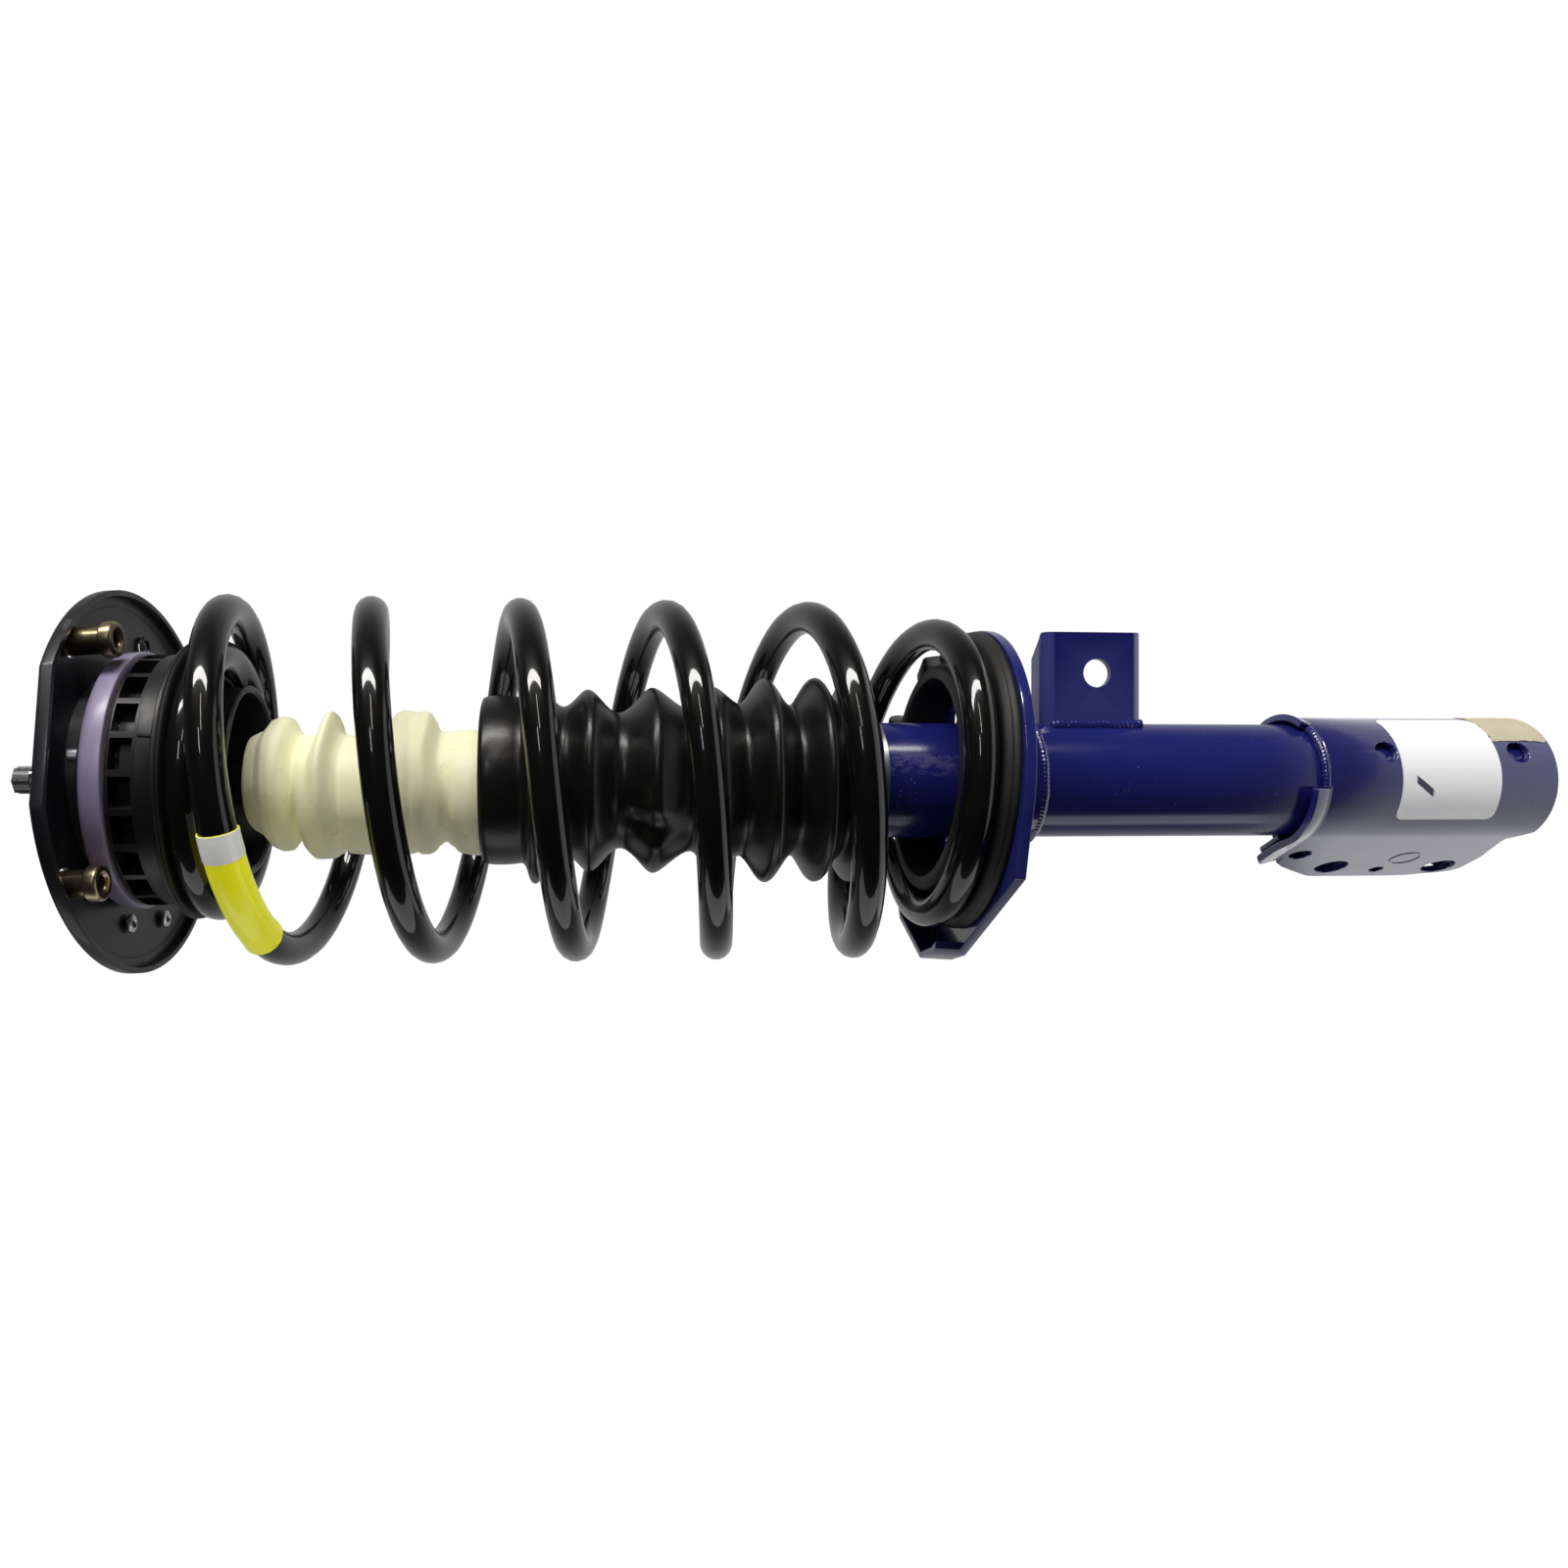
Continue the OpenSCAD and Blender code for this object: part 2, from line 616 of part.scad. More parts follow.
module lower_seat() color([0.14, 0.17, 0.52]) difference() {
    union() {
        seat_tilt() {
            translate([0, 0, seat_z - seat_t]) linear_extrude(seat_t) seat_outline(0);
            translate([0, 0, seat_z - seat_t - seat_skirt]) linear_extrude(seat_skirt + eps) difference() {
                seat_outline(0);
                seat_outline(seat_skirt_t);
            }
            // the lobe's upturned lip
            translate([0, 0, seat_z - seat_t]) linear_extrude(lobe_lip_h) difference() {
                intersection() {
                    seat_outline(0);
                    polygon([[0, 0], for (dir = lobe_lip_dirs) 2 * seat_r * [cos(dir), sin(dir)]]);
                }
                seat_outline(seat_t);
            }
        }
        ring(neck_r, tube_r, seat_z - neck_len, seat_z - seat_t / 2);
    }
    translate([0, 0, seat_z - neck_len - 1]) cylinder(r = tube_r, h = neck_len + 20);
    for (dir = window_dirs) rotate(dir) translate([window_pcr, 0, seat_z - 15])
        cylinder(r = window_r, h = 30);
}

module lower_isolator() color([0.05, 0.05, 0.05]) seat_tilt() {
    rotate_extrude() polygon([[hub_r[0], seat_z], [low_lip_r, seat_z], [low_lip_r, seat_z + low_lip_h],
        [low_rubber_r, seat_z + low_rubber_t], [hub_r[1], seat_z + low_rubber_t],
        [hub_r[1], seat_z + hub_h - 2], [hub_r[1] - 2, seat_z + hub_h], [hub_r[0], seat_z + hub_h]]);
    rotate(stop_dir) rotate_extrude(angle = stop_sweep)
        translate([hub_r[1] - 1, seat_z + low_rubber_t - eps]) square([stop_w, stop_h]);
}

// ---------------------------------------------------------------- brackets

// rounded rectangle, from exact circles
module round_box(size, r) {
    translate([r, 0]) square([size.x - 2 * r, size.y]);
    translate([0, r]) square([size.x, size.y - 2 * r]);
    for (x = [r, size.x - r]) for (y = [r, size.y - r]) translate([x, y]) circle(r = r);
}

// the link bracket's folded section: x is the depth from its front face, y runs along the tube
module link_section() difference() {
    round_box([link_depth * 2, link_len], link_bend);
    translate([bracket_t, bracket_t])
        round_box([link_depth * 2, link_len - 2 * bracket_t], link_bend - bracket_t);
    translate([link_depth, -1]) square([link_depth * 2, link_len + 2]);
}

module link_bracket() color([0.14, 0.17, 0.52]) rotate(link_dir) difference() {
    translate([0, link_face, link_z - link_len / 2]) rotate([90, 0, 90])
        linear_extrude(link_reach) link_section();
    cylinder(r = tube_r, h = 2000, center = true);
    // cut back to the tube's near side, and slope the folded edges
    translate([-1, link_face - 1, link_z - link_len]) cube([tube_r - 6, link_depth + 3, 2 * link_len]);
    translate([link_reach, link_face + bracket_t, link_z - link_len]) rotate(135)
        translate([0, -40, 0]) cube([40, 40, 2 * link_len]);
    translate([link_hole_x, link_face - 1, link_hole_z]) rotate([-90, 0, 0])
        cylinder(r = link_hole_r, h = bracket_t + 2);
}

// outline of the clevis seen from its side: y is the distance from the axis, x the height
module ear_shape() {
    foot = tube_foot;
    top = knuckle_top;
    polygon([[foot, -40], [top, -40], [top, 18], [top - 8, 31], [top - 33, ear_reach - 2],
        [top - 38, ear_reach], [foot + 36, ear_reach], [foot + 19, ear_reach - 2.5],
        [foot + 10, ear_reach - 4.5], [foot + 6, ear_reach - 6.5], [foot + 3.5, ear_reach - 10],
        [foot + 3.5, 25], [foot + 8.3, 6], [foot + 8.3, 3], [foot, -4]]);
}

// what lies within a side outline, across the whole clevis
module across() translate([-60, 0, 0]) rotate([0, 90, 0]) mirror([1, 0, 0]) linear_extrude(120) children();

module u_section(half, reach) {
    circle(r = half);
    translate([-half, 0]) square([2 * half, reach]);
}

// a hole across both ears, at a distance from the axis and a height above the foot
module cross_hole(y, height, r) translate([0, y, tube_foot + height]) rotate([0, 90, 0])
    cylinder(r = r, h = 4 * wrap_r, center = true);

module knuckle_holes() {
    for (z = knuckle_bolts) cross_hole(knuckle_bolt_y, z - tube_foot, knuckle_hole_r);
    cross_hole(clip_hole_at[0], clip_hole_at[1], clip_hole_r);
}

// section of the flared lip: its root lies within the wall
module lip_section() polygon([[tube_r + 0.5, -1], [wrap_r + lip_out - 2.5, lip_h],
    [wrap_r + lip_out, lip_h - 1.5], [wrap_r - 0.5, -3]]);

module knuckle_bracket() color([0.14, 0.17, 0.52]) difference() {
    union() {
        intersection() {
            translate([0, 0, tube_foot]) linear_extrude(knuckle_len) difference() {
                u_section(wrap_r, ear_reach);
                u_section(tube_r, ear_reach + 1);
            }
            across() ear_shape();
        }
        // the lip that is flared out along each side's top edge
        for (side = [0, 1]) mirror([side, 0, 0]) {
            translate([0, 0, knuckle_top]) rotate(-lip_sweep)
                rotate_extrude(angle = lip_sweep) lip_section();
            // the straight run laps over the curved one
            translate([lip_lap, lip_reach, knuckle_top]) rotate([90, 0, 0])
                linear_extrude(lip_reach + 1) lip_section();
        }
    }
    knuckle_holes();
    cross_hole(locator_at[0], locator_at[1], locator_r);
    for (side = [-1, 1]) translate([side * (wrap_r + 1 - 0.4), knockout_at[0], tube_foot + knockout_at[1]])
        rotate([0, 90, 0]) difference() {
            cylinder(r = knockout_r, h = 2, center = true);
            cylinder(r = knockout_r - 0.8, h = 3, center = true);
        }
    for (height = window_heights) translate([0, 0, tube_foot + height]) rotate([90, 0, 0])
        cylinder(r = wrap_window_r, h = wrap_r + 5);
}

module knuckle_brace() color([0.14, 0.17, 0.52]) difference() {
    intersection() {
        translate([0, 0, tube_foot]) linear_extrude(knuckle_len) difference() {
            translate([-tube_r, brace_back]) square([2 * tube_r, ear_reach]);
            translate([-tube_r + bracket_t, brace_back + bracket_t])
                square([2 * (tube_r - bracket_t), ear_reach]);
        }
        across() intersection() {
            translate([-brace_inset, -brace_inset]) ear_shape();
            translate([brace_inset, -brace_inset]) ear_shape();
        }
    }
    knuckle_holes();
}

module weld_beads() color([0.16, 0.18, 0.5]) {
    // ring weld under the seat's neck
    translate([0, 0, seat_z - neck_len]) difference() {
        rotate_extrude() translate([tube_r + 0.6, 0]) circle(r = weld_r);
        cylinder(r = tube_r, h = 10, center = true);
        cylinder(r = neck_r + 1, h = 10);
    }
    // bead at the foot of the link bracket's web
    rotate(link_dir) difference() {
        translate([tube_r - 1.2, link_face, link_z]) cylinder(r = weld_r, h = link_len - 8, center = true);
        cylinder(r = tube_r, h = 2000, center = true);
        translate([0, link_face, link_z - link_len]) cube([link_reach, 20, 2 * link_len]);
    }
    // bead on the wrap's top edge, between the two lips
    rotate(180 + lip_sweep + 2) translate([0, 0, knuckle_top]) difference() {
        rotate_extrude(angle = 176 - 2 * lip_sweep) translate([tube_r + 0.8, 0]) circle(r = weld_r);
        cylinder(r = tube_r, h = 10, center = true);
        translate([0, 0, -10]) cylinder(r = wrap_r + lip_out, h = 10);
    }
}

// a thin patch wrapped on the clevis
module patch(dirs, heights) rotate(dirs[0]) rotate_extrude(angle = dirs[1] - dirs[0])
    translate([wrap_r + label_gap, tube_foot + heights[0]]) square([label_t, heights[1] - heights[0]]);

module blank_label() color([0.95, 0.95, 0.95]) patch(label_dirs, label_heights);

module tape_patch() color([0.85, 0.8, 0.62]) patch(tape_dirs, tape_heights);

// ---------------------------------------------------------------- the part

mount_plate();
mount_dome();
tower_nuts();
plate_rivets();
mount_rubber();
mount_core();
rebound_washer();
rod_nut();
piston_rod();
rebound_ring();
piston();
piston_band();
piston_nut();
bearing_top_ring();
bearing_balls();
bearing_cage();
bump_stop();
dust_boot();
bearing_seat();
seat_cup();
upper_isolator();
coil_spring();
spring_tag();
reserve_tube();
pressure_tube();
rod_guide();
rod_seal();
gland_cap();
base_valve();
base_cup();
lower_seat();
lower_isolator();
link_bracket();
knuckle_bracket();
knuckle_brace();
weld_beads();
blank_label();
tape_patch();
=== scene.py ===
import math
import bmesh
import bpy
from mathutils import Matrix, Vector, noise


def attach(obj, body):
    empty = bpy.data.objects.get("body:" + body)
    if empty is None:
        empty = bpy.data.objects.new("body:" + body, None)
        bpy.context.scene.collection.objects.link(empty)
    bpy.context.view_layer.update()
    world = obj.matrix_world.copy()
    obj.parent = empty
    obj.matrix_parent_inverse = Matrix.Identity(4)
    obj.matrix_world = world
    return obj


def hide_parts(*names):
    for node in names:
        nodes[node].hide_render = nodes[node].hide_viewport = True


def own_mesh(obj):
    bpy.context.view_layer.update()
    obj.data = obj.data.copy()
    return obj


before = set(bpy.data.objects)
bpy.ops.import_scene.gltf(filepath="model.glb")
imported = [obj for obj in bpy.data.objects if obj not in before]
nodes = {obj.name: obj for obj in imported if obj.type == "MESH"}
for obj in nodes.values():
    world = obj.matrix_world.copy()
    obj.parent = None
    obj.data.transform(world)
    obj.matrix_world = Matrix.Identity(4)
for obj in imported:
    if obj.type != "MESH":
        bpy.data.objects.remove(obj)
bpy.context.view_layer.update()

scene = bpy.context.scene

# ---- Studio: the strut stands upright and the camera lies on its side, half a metre away.
# The floor is plain and pale, well below the foot, and shows white to the camera. A soft box
# above, a wide one below and two narrow ones draw the streaks on paint and wire.
camera_turn, camera_yaw = math.radians(244), math.radians(4.8)
camera_far, camera_z = 0.4896, -0.190
toward = Vector((math.cos(camera_turn), math.sin(camera_turn), 0))
down = Vector((0, 0, -1))
right = down * math.cos(camera_yaw) + toward * math.sin(camera_yaw)
forward = down * math.sin(camera_yaw) - toward * math.cos(camera_yaw)
up = right.cross(forward)


def linked(name, data):
    """A new object in the scene."""
    made = bpy.data.objects.new(name, data)
    scene.collection.objects.link(made)
    return made


def posed(made, x, y, z, place):
    """Stands an object at a place, its own axes along three directions."""
    made.matrix_world = Matrix.Translation(place) @ Matrix((x, y, z)).transposed().to_4x4()


camera = linked("camera", bpy.data.cameras.new("camera"))
camera.data.lens, camera.data.sensor_width = 25.785, 36
camera.data.shift_x, camera.data.shift_y = 0.0774, -0.0025
camera.data.clip_start, camera.data.clip_end = 0.02, 30
posed(camera, right, up, -forward, toward * camera_far + Vector((0, 0, camera_z)))
scene.camera = camera
scene.view_settings.view_transform = "Standard"


def plug(made, **inputs):
    """Sets or links a node's sockets: by name, with _ for a space, or by number, as i0."""
    for name, value in inputs.items():
        key = int(name[1:]) if name[1:].isdigit() else name.replace("_", " ")
        target = made.inputs[key]
        if isinstance(value, Line):
            made.id_data.links.new(value.socket, target)
        elif isinstance(value, tuple) and len(value) == 3 and len(target.default_value) == 4:
            target.default_value = (*value, 1)
        else:
            target.default_value = value


class Line:
    """A shader socket that takes part in sums, so a pattern reads as one expression."""

    def __init__(self, tree, socket=None):
        self.tree, self.socket = tree, socket

    def node(self, kind, settings=(), output=0, **inputs):
        made = self.tree.nodes.new(kind)
        for name, value in dict(settings).items():
            setattr(made, name, value)
        plug(made, **inputs)
        return Line(self.tree, made.outputs[output] if len(made.outputs) else None)

    def sum(self, operation, a, b):
        return self.node("ShaderNodeMath", {"operation": operation}, i0=a, i1=b)

    def __add__(self, other): return self.sum("ADD", self, other)
    def __radd__(self, other): return self.sum("ADD", other, self)
    def __sub__(self, other): return self.sum("SUBTRACT", self, other)
    def __rsub__(self, other): return self.sum("SUBTRACT", other, self)
    def __mul__(self, other): return self.sum("MULTIPLY", self, other)
    def __rmul__(self, other): return self.sum("MULTIPLY", other, self)


def ramp(value, low, high):
    """Rises softly from 0 to 1 between two values; falls where low is the greater."""
    return value.node("ShaderNodeMapRange", {"interpolation_type": "SMOOTHSTEP"}, i0=value, i1=low, i2=high)


def mix(share, a, b):
    """A colour between two others, or between two patterns of colour."""
    return share.node("ShaderNodeMix", {"data_type": "RGBA"}, 2, i0=share, i6=a, i7=b)


def against(operation, spot, vector):
    """A Vector Math node's number, such as a distance, from a place and a fixed vector."""
    return spot.node("ShaderNodeVectorMath", {"operation": operation}, 1, i0=spot, i1=tuple(vector))


world = bpy.data.worlds.new("studio")
scene.world = world
world.use_nodes = True
world.node_tree.nodes.clear()
air = Line(world.node_tree)
seen = air.node("ShaderNodeLightPath", output=0)
behind = ramp(against("DOT_PRODUCT", air.node("ShaderNodeTexCoord"), -toward), -0.1, 0.9)
glow = seen + (1 - seen) * (0.02 + 0.42 * behind)
air.node("ShaderNodeOutputWorld", Surface=air.node("ShaderNodeBackground", Color=(1, 1, 1), Strength=glow))

floor_middle = toward * -0.06 - up * 0.04 - Vector((0, 0, 1))
floor_reach, mirror_reach = 0.70, 0.60
floor_shape = bmesh.new()
bmesh.ops.create_circle(floor_shape, cap_ends=True, segments=96, radius=floor_reach,
    matrix=Matrix.Translation(floor_middle))
floor = linked("floor", bpy.data.meshes.new("floor"))
floor_shape.to_mesh(floor.data)
paper = bpy.data.materials.new("floor")
floor.data.materials.append(paper)
paper.use_nodes = True
paper.node_tree.nodes.clear()
sweep = Line(paper.node_tree)
seen, mirrored, through = (sweep.node("ShaderNodeLightPath", output=i) for i in (0, 3, 6))
spot = against("DISTANCE", sweep.node("ShaderNodeTexCoord", output=3), floor_middle)
shown = seen + through + mirrored * ramp(spot, floor_reach, mirror_reach)
sweep.node("ShaderNodeOutputMaterial", Surface=sweep.node("ShaderNodeMixShader", i0=shown * 0.9,
    i1=sweep.node("ShaderNodeBsdfDiffuse", Color=(0.8, 0.8, 0.8)),
    i2=sweep.node("ShaderNodeEmission", Color=(1, 1, 1), Strength=1.12)))

lit_spot = Vector((0, 0, -0.29))
for name, place, size, power, tint in (
        ("key", toward * 0.60 + up * 1.22 + Vector((0, 0, 0.05)), (1.7, 0.20), 25, (1, 0.98, 0.95)),
        ("cool", toward * 1.15 + up * 0.48 + Vector((0, 0, 0.26)), (0.05, 0.30), 1, (0.86, 0.92, 1)),
        ("warm", toward * 0.95 + up * 0.80 + Vector((0, 0, -0.05)), (0.04, 0.46), 1.3, (1, 0.90, 0.78)),
        ("low", toward * 0.05 - up * 1.15 + Vector((0, 0, -0.3)), (2.4, 0.5), 4.5, (1, 1, 1))):
    lamp = linked(name, bpy.data.lights.new(name, "AREA"))
    lamp.data.shape, lamp.data.size, lamp.data.size_y, lamp.data.energy = "RECTANGLE", *size, power
    lamp.data.color = tint
    back = (place - lit_spot).normalized()
    across = (down - back * down.dot(back)).normalized()
    posed(lamp, across, back.cross(across), back, place)

# ---- Damper tube: a drawn steel tube, closed at the foot by a pressed cup, sprayed gloss blue
# with the brackets and the seat already welded on. The paint has a fine orange peel, and a highlight
# is painted paler along its edges; the spring has scuffed the tube's front just above its seat, where a
# highlight is painted in too.


def turned(degrees):
    """A level direction, counted from +X towards +Y."""
    return Vector((math.cos(math.radians(degrees)), math.sin(math.radians(degrees)), 0))


def spun(degrees, axis="Z"):
    """A turn about an axis, as a matrix."""
    return Matrix.Rotation(math.radians(degrees), 4, axis)


def heading(spot):
    """The level direction of a spot from the strut's axis, in degrees from 0 to 360."""
    return math.degrees(math.atan2(spot.y, spot.x)) % 360


def finish(name, **fixed):
    """A new material: itself, its Object coordinates, and its shader with the fixed values set."""
    made = bpy.data.materials.new(name)
    made.use_nodes = True
    shader = made.node_tree.nodes["Principled BSDF"]
    plug(shader, **fixed)
    return made, Line(made.node_tree).node("ShaderNodeTexCoord", output=3), shader


def grain(at, size, detail=2, roughness=0.5, stretch=(1, 1, 1)):
    """Noise whose features are about size mm across, stretched along x, y or z."""
    if stretch != (1, 1, 1):
        at = at.node("ShaderNodeMapping", Scale=tuple(1 / s for s in stretch), Vector=at)
    return at.node("ShaderNodeTexNoise", Vector=at, Scale=1000 / size, Detail=detail, Roughness=roughness)


def relief(height, depth):
    """A bump of depth mm from a pattern that runs from 0 to 1."""
    return height.node("ShaderNodeBump", Height=height, Strength=1, Distance=depth / 1000)


def axis_of(at, i):
    return at.node("ShaderNodeSeparateXYZ", output=i, Vector=at)


def edge_highlight(at, low=0.52, high=0.60):
    """1 on outer edges and 0 elsewhere: where a finish is painted lighter as a highlight."""
    return ramp(at.node("ShaderNodeNewGeometry", output=7), low, high)


def merged(shape, distance):
    bmesh.ops.remove_doubles(shape, verts=shape.verts[:], dist=distance)


def faced_out(shape):
    bmesh.ops.recalc_face_normals(shape, faces=shape.faces[:])


def rounded(shape, corners, size, segments=3, affect="EDGES", clamped=True):
    """Rounds corners or edges by a size in mm."""
    bmesh.ops.bevel(shape, geom=corners, offset=size, segments=segments, profile=0.5, affect=affect,
        material=-1, clamp_overlap=clamped)


def revolved(section, steps=96, closed=True, base=0):
    """Spins a section of (radius, height over base, rounding) points, in mm, round the strut's axis."""
    shape = bmesh.new()
    points = [shape.verts.new((p[0], 0, base + p[1])) for p in section]
    for a, b in zip(points, points[1:] + (points[:1] if closed else [])):
        shape.edges.new((a, b))
    corners = {}
    for point, p in zip(points, section):
        if len(p) > 2:
            corners.setdefault(p[2], []).append(point)
    for size, group in corners.items():
        rounded(shape, group, size, affect="VERTICES")
    bmesh.ops.spin(shape, geom=shape.verts[:] + shape.edges[:], cent=(0, 0, 0), axis=(0, 0, 1),
        angle=2 * math.pi, steps=steps, use_merge=True)
    merged(shape, 1e-4)
    faced_out(shape)
    return shape


def piece(name, shape, skin, body, slot, *stands_for, sharp=32, even=False):
    """Makes a piece from a shape in mm, on the body that carries it, for the nodes that it replaces."""
    bmesh.ops.scale(shape, vec=(0.001, 0.001, 0.001), verts=shape.verts[:])
    for face in shape.faces:
        face.smooth = True
    for edge in shape.edges:
        edge.smooth = not (edge.is_manifold and edge.calc_face_angle(0) > math.radians(sharp))
    made = linked(name, bpy.data.meshes.new(name))
    shape.to_mesh(made.data)
    shape.free()
    made.data.materials.append(skin)
    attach(made, body)
    if stands_for:
        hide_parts(*stands_for)
    if even:
        made.modifiers.new("faces", "WEIGHTED_NORMAL").keep_sharp = True
    return made


def coated(skin, *names):
    """Gives nodes that stay in view their finish."""
    for name in names:
        nodes[name].data.materials.clear()
        nodes[name].data.materials.append(skin)


def blue_paint(name, scuffed, coat=0.62, haze=0.07):
    """The blue finish, with or without the scuffed band on the tube's front, whose lighter colour is a
    painted highlight.
    """
    made, at, shader = finish(name, Coat_Weight=coat, Coat_Roughness=haze, Coat_IOR=1.8,
        Specular_IOR_Level=0.3)
    tone = grain(at, 55, 3)
    peel = grain(at, 1.6, 1.5)
    dust = ramp(grain(at, 0.9, 1), 0.74, 0.78) * ramp(grain(at, 30), 0.5, 0.7)
    # painted highlight: the paint is lighter along outer edges
    edge = edge_highlight(at)
    colour = mix(tone, (0.008, 0.010, 0.112), (0.012, 0.017, 0.160))
    colour = mix(edge * 0.4, colour, (0.09, 0.10, 0.34))
    colour = mix(dust * 0.7, colour, (0.3, 0.32, 0.5))
    rough = 0.16 + 0.12 * grain(at, 14, 3)
    if scuffed:
        height = axis_of(at, 2)
        span = ramp(height, -0.362, -0.352) * ramp(height, -0.318, -0.326)
        # the scuffed band lies a little above the axis in the camera's up direction, where the lamp's
        # highlight falls: its lighter colour is a painted highlight over real, rougher scuffs
        lift = against("DOT_PRODUCT", at, up)
        band = ramp(lift, 0.0005, 0.004) * ramp(lift, 0.0125, 0.009) * span
        lit_scuff = band * ramp(grain(at, 2.2, 4, 0.7, (1, 1, 2.5)), 0.42, 0.62)
        colour = mix(lit_scuff * 0.45, colour, (0.10, 0.10, 0.27))
        # pale specks over the scuffed ring, up to the band's top: partly real chips, partly painted
        # highlight
        chip_and_highlight_specks = (ramp(grain(at, 1.3, 2), 0.66, 0.72) * ramp(height, -0.345, -0.320)
            * ramp(lift, 0.020, 0.012))
        colour = mix(chip_and_highlight_specks * 0.8, colour, (0.35, 0.35, 0.6))
        rough = rough + lit_scuff * 0.3
        plug(shader, Coat_Weight=coat * (1 - 0.8 * ramp(height, -0.372, -0.345)))
    plug(shader, Base_Color=colour, Roughness=rough,
        Normal=relief(peel + 0.4 * grain(at, 6), 0.022))
    return made


tube_blue = blue_paint("tube_blue", True, 0.3, 0.13)
gloss_blue = blue_paint("gloss_blue", False)
tube_r, tube_wall, tube_foot, tube_top = 25.4, 2.2, -626, -309.5
tube = revolved([(tube_r - tube_wall, tube_foot, 0.5), (tube_r, tube_foot, 0.9), (tube_r, tube_top, 0.5),
    (tube_r - tube_wall, tube_top, 0.5)], 128)
piece("damper_tube", tube, tube_blue, "strut_body", "blue_paint", "reserve_tube")
coated(gloss_blue, "base_cup")

# ---- Clevis, link bracket and spring seat: pressed from 3 mm sheet and welded round the tube.
# Their cut edges are a little rounded from tumbling, and a highlight is painted paler along them.


def blue_piece(name, shape, *stands_for, **look):
    return piece(name, shape, gloss_blue, "strut_body", "blue_paint", *stands_for, **look)


def from_cad(name, rounding, shortest=0):
    """A copy of a node's mesh in mm, merged, its flats joined and its sharp edges rounded."""
    shape = bmesh.new()
    shape.from_mesh(nodes[name].data)
    bmesh.ops.scale(shape, vec=(1000, 1000, 1000), verts=shape.verts[:])
    merged(shape, 1e-3)
    bmesh.ops.dissolve_limit(shape, angle_limit=math.radians(0.8), verts=shape.verts[:],
        edges=shape.edges[:])
    sharp = [e for e in shape.edges if e.is_manifold and e.calc_length() > shortest
        and math.radians(40) < e.calc_face_angle(0) < math.radians(105)]
    rounded(shape, sharp, rounding, 2, clamped=False)
    merged(shape, 1e-3)
    return shape


def settled(made):
    """Applies a piece's modifiers, so that its mesh is final."""
    final = bpy.data.meshes.new_from_object(made.evaluated_get(bpy.context.evaluated_depsgraph_get()))
    made.modifiers.clear()
    made.data = final
    return made


def trimmed(made, shape, operation):
    """Cuts a settled piece by a closed shape in metres, or keeps what lies in it."""
    tool = linked("tool", bpy.data.meshes.new("tool"))
    faced_out(shape)
    shape.to_mesh(tool.data)
    shape.free()
    cut = made.modifiers.new("cut", "BOOLEAN")
    cut.operation, cut.solver, cut.object = operation, "EXACT", tool
    bpy.context.view_layer.update()
    settled(made)
    bpy.data.objects.remove(tool)


def placed(shape, matrix):
    bmesh.ops.transform(shape, matrix=matrix, verts=shape.verts[:])


def cylinder(radius, depth, segments, place):
    """A closed cylinder or prism, half its depth to each side of its place."""
    shape = bmesh.new()
    bmesh.ops.create_cone(shape, cap_ends=True, segments=segments, radius1=radius, radius2=radius,
        depth=depth, matrix=place)
    return shape


def opened(made, *holes):
    """Drills round holes, given as (radius in mm, matrix in metres), through a settled piece."""
    for radius, place in holes:
        trimmed(made, cylinder(radius / 1000, 0.08, 64, place), "DIFFERENCE")


def walled(made, thickness):
    """Gives an open sheet its thickness in mm, behind its faces."""
    wall = made.modifiers.new("sheet", "SOLIDIFY")
    wall.thickness, wall.offset = thickness / 1000, -1


def pressed(made, rounding):
    """Rounds a cut sheet's edges and evens its shading."""
    made.data.set_sharp_from_angle(angle=math.radians(32))
    soft = made.modifiers.new("edge", "BEVEL")
    soft.width, soft.segments, soft.limit_method = rounding / 1000, 2, "ANGLE"
    soft.angle_limit = math.radians(50)
    soft.use_clamp_overlap, soft.harden_normals = False, False
    made.modifiers.new("faces", "WEIGHTED_NORMAL").keep_sharp = True


def corners_of(grown):
    return [v for v in grown["geom"] if isinstance(v, bmesh.types.BMVert)]


def shifted(shape, grown, move):
    """Moves the corners that an extrusion made."""
    bmesh.ops.translate(shape, verts=corners_of(grown), vec=move)


def stopped(shape, sides=20):
    """Closes a shape's open ends."""
    bmesh.ops.holes_fill(shape, edges=[e for e in shape.edges if e.is_boundary], sides=sides)


def sliced(shape, place, way, near, clear_outer=False):
    """Cuts a shape by a plane, and may drop what lies beyond it."""
    bmesh.ops.bisect_plane(shape, geom=shape.verts[:] + shape.edges[:] + shape.faces[:], dist=near,
        plane_co=place, plane_no=way, clear_outer=clear_outer)


def facing_away(shape):
    """Turns an open sheet's faces away from the strut's axis."""
    faced_out(shape)
    first = shape.faces[:][0]
    if first.normal.dot(first.calc_center_median() * Vector((1, 1, 0))) < 0:
        bmesh.ops.reverse_faces(shape, faces=shape.faces[:])


def paired(shape):
    """Adds a shape's mirror image on the other side of the strut."""
    bmesh.ops.mirror(shape, geom=shape.verts[:] + shape.edges[:] + shape.faces[:], axis="X")
    faced_out(shape)


def blank(matrix=Matrix.Translation((0.5, 0.5, 0))):
    """A unit square to bend or draw out, with a corner on the origin unless a matrix places it."""
    shape = bmesh.new()
    bmesh.ops.create_grid(shape, x_segments=1, y_segments=1, size=0.5, matrix=matrix)
    return shape


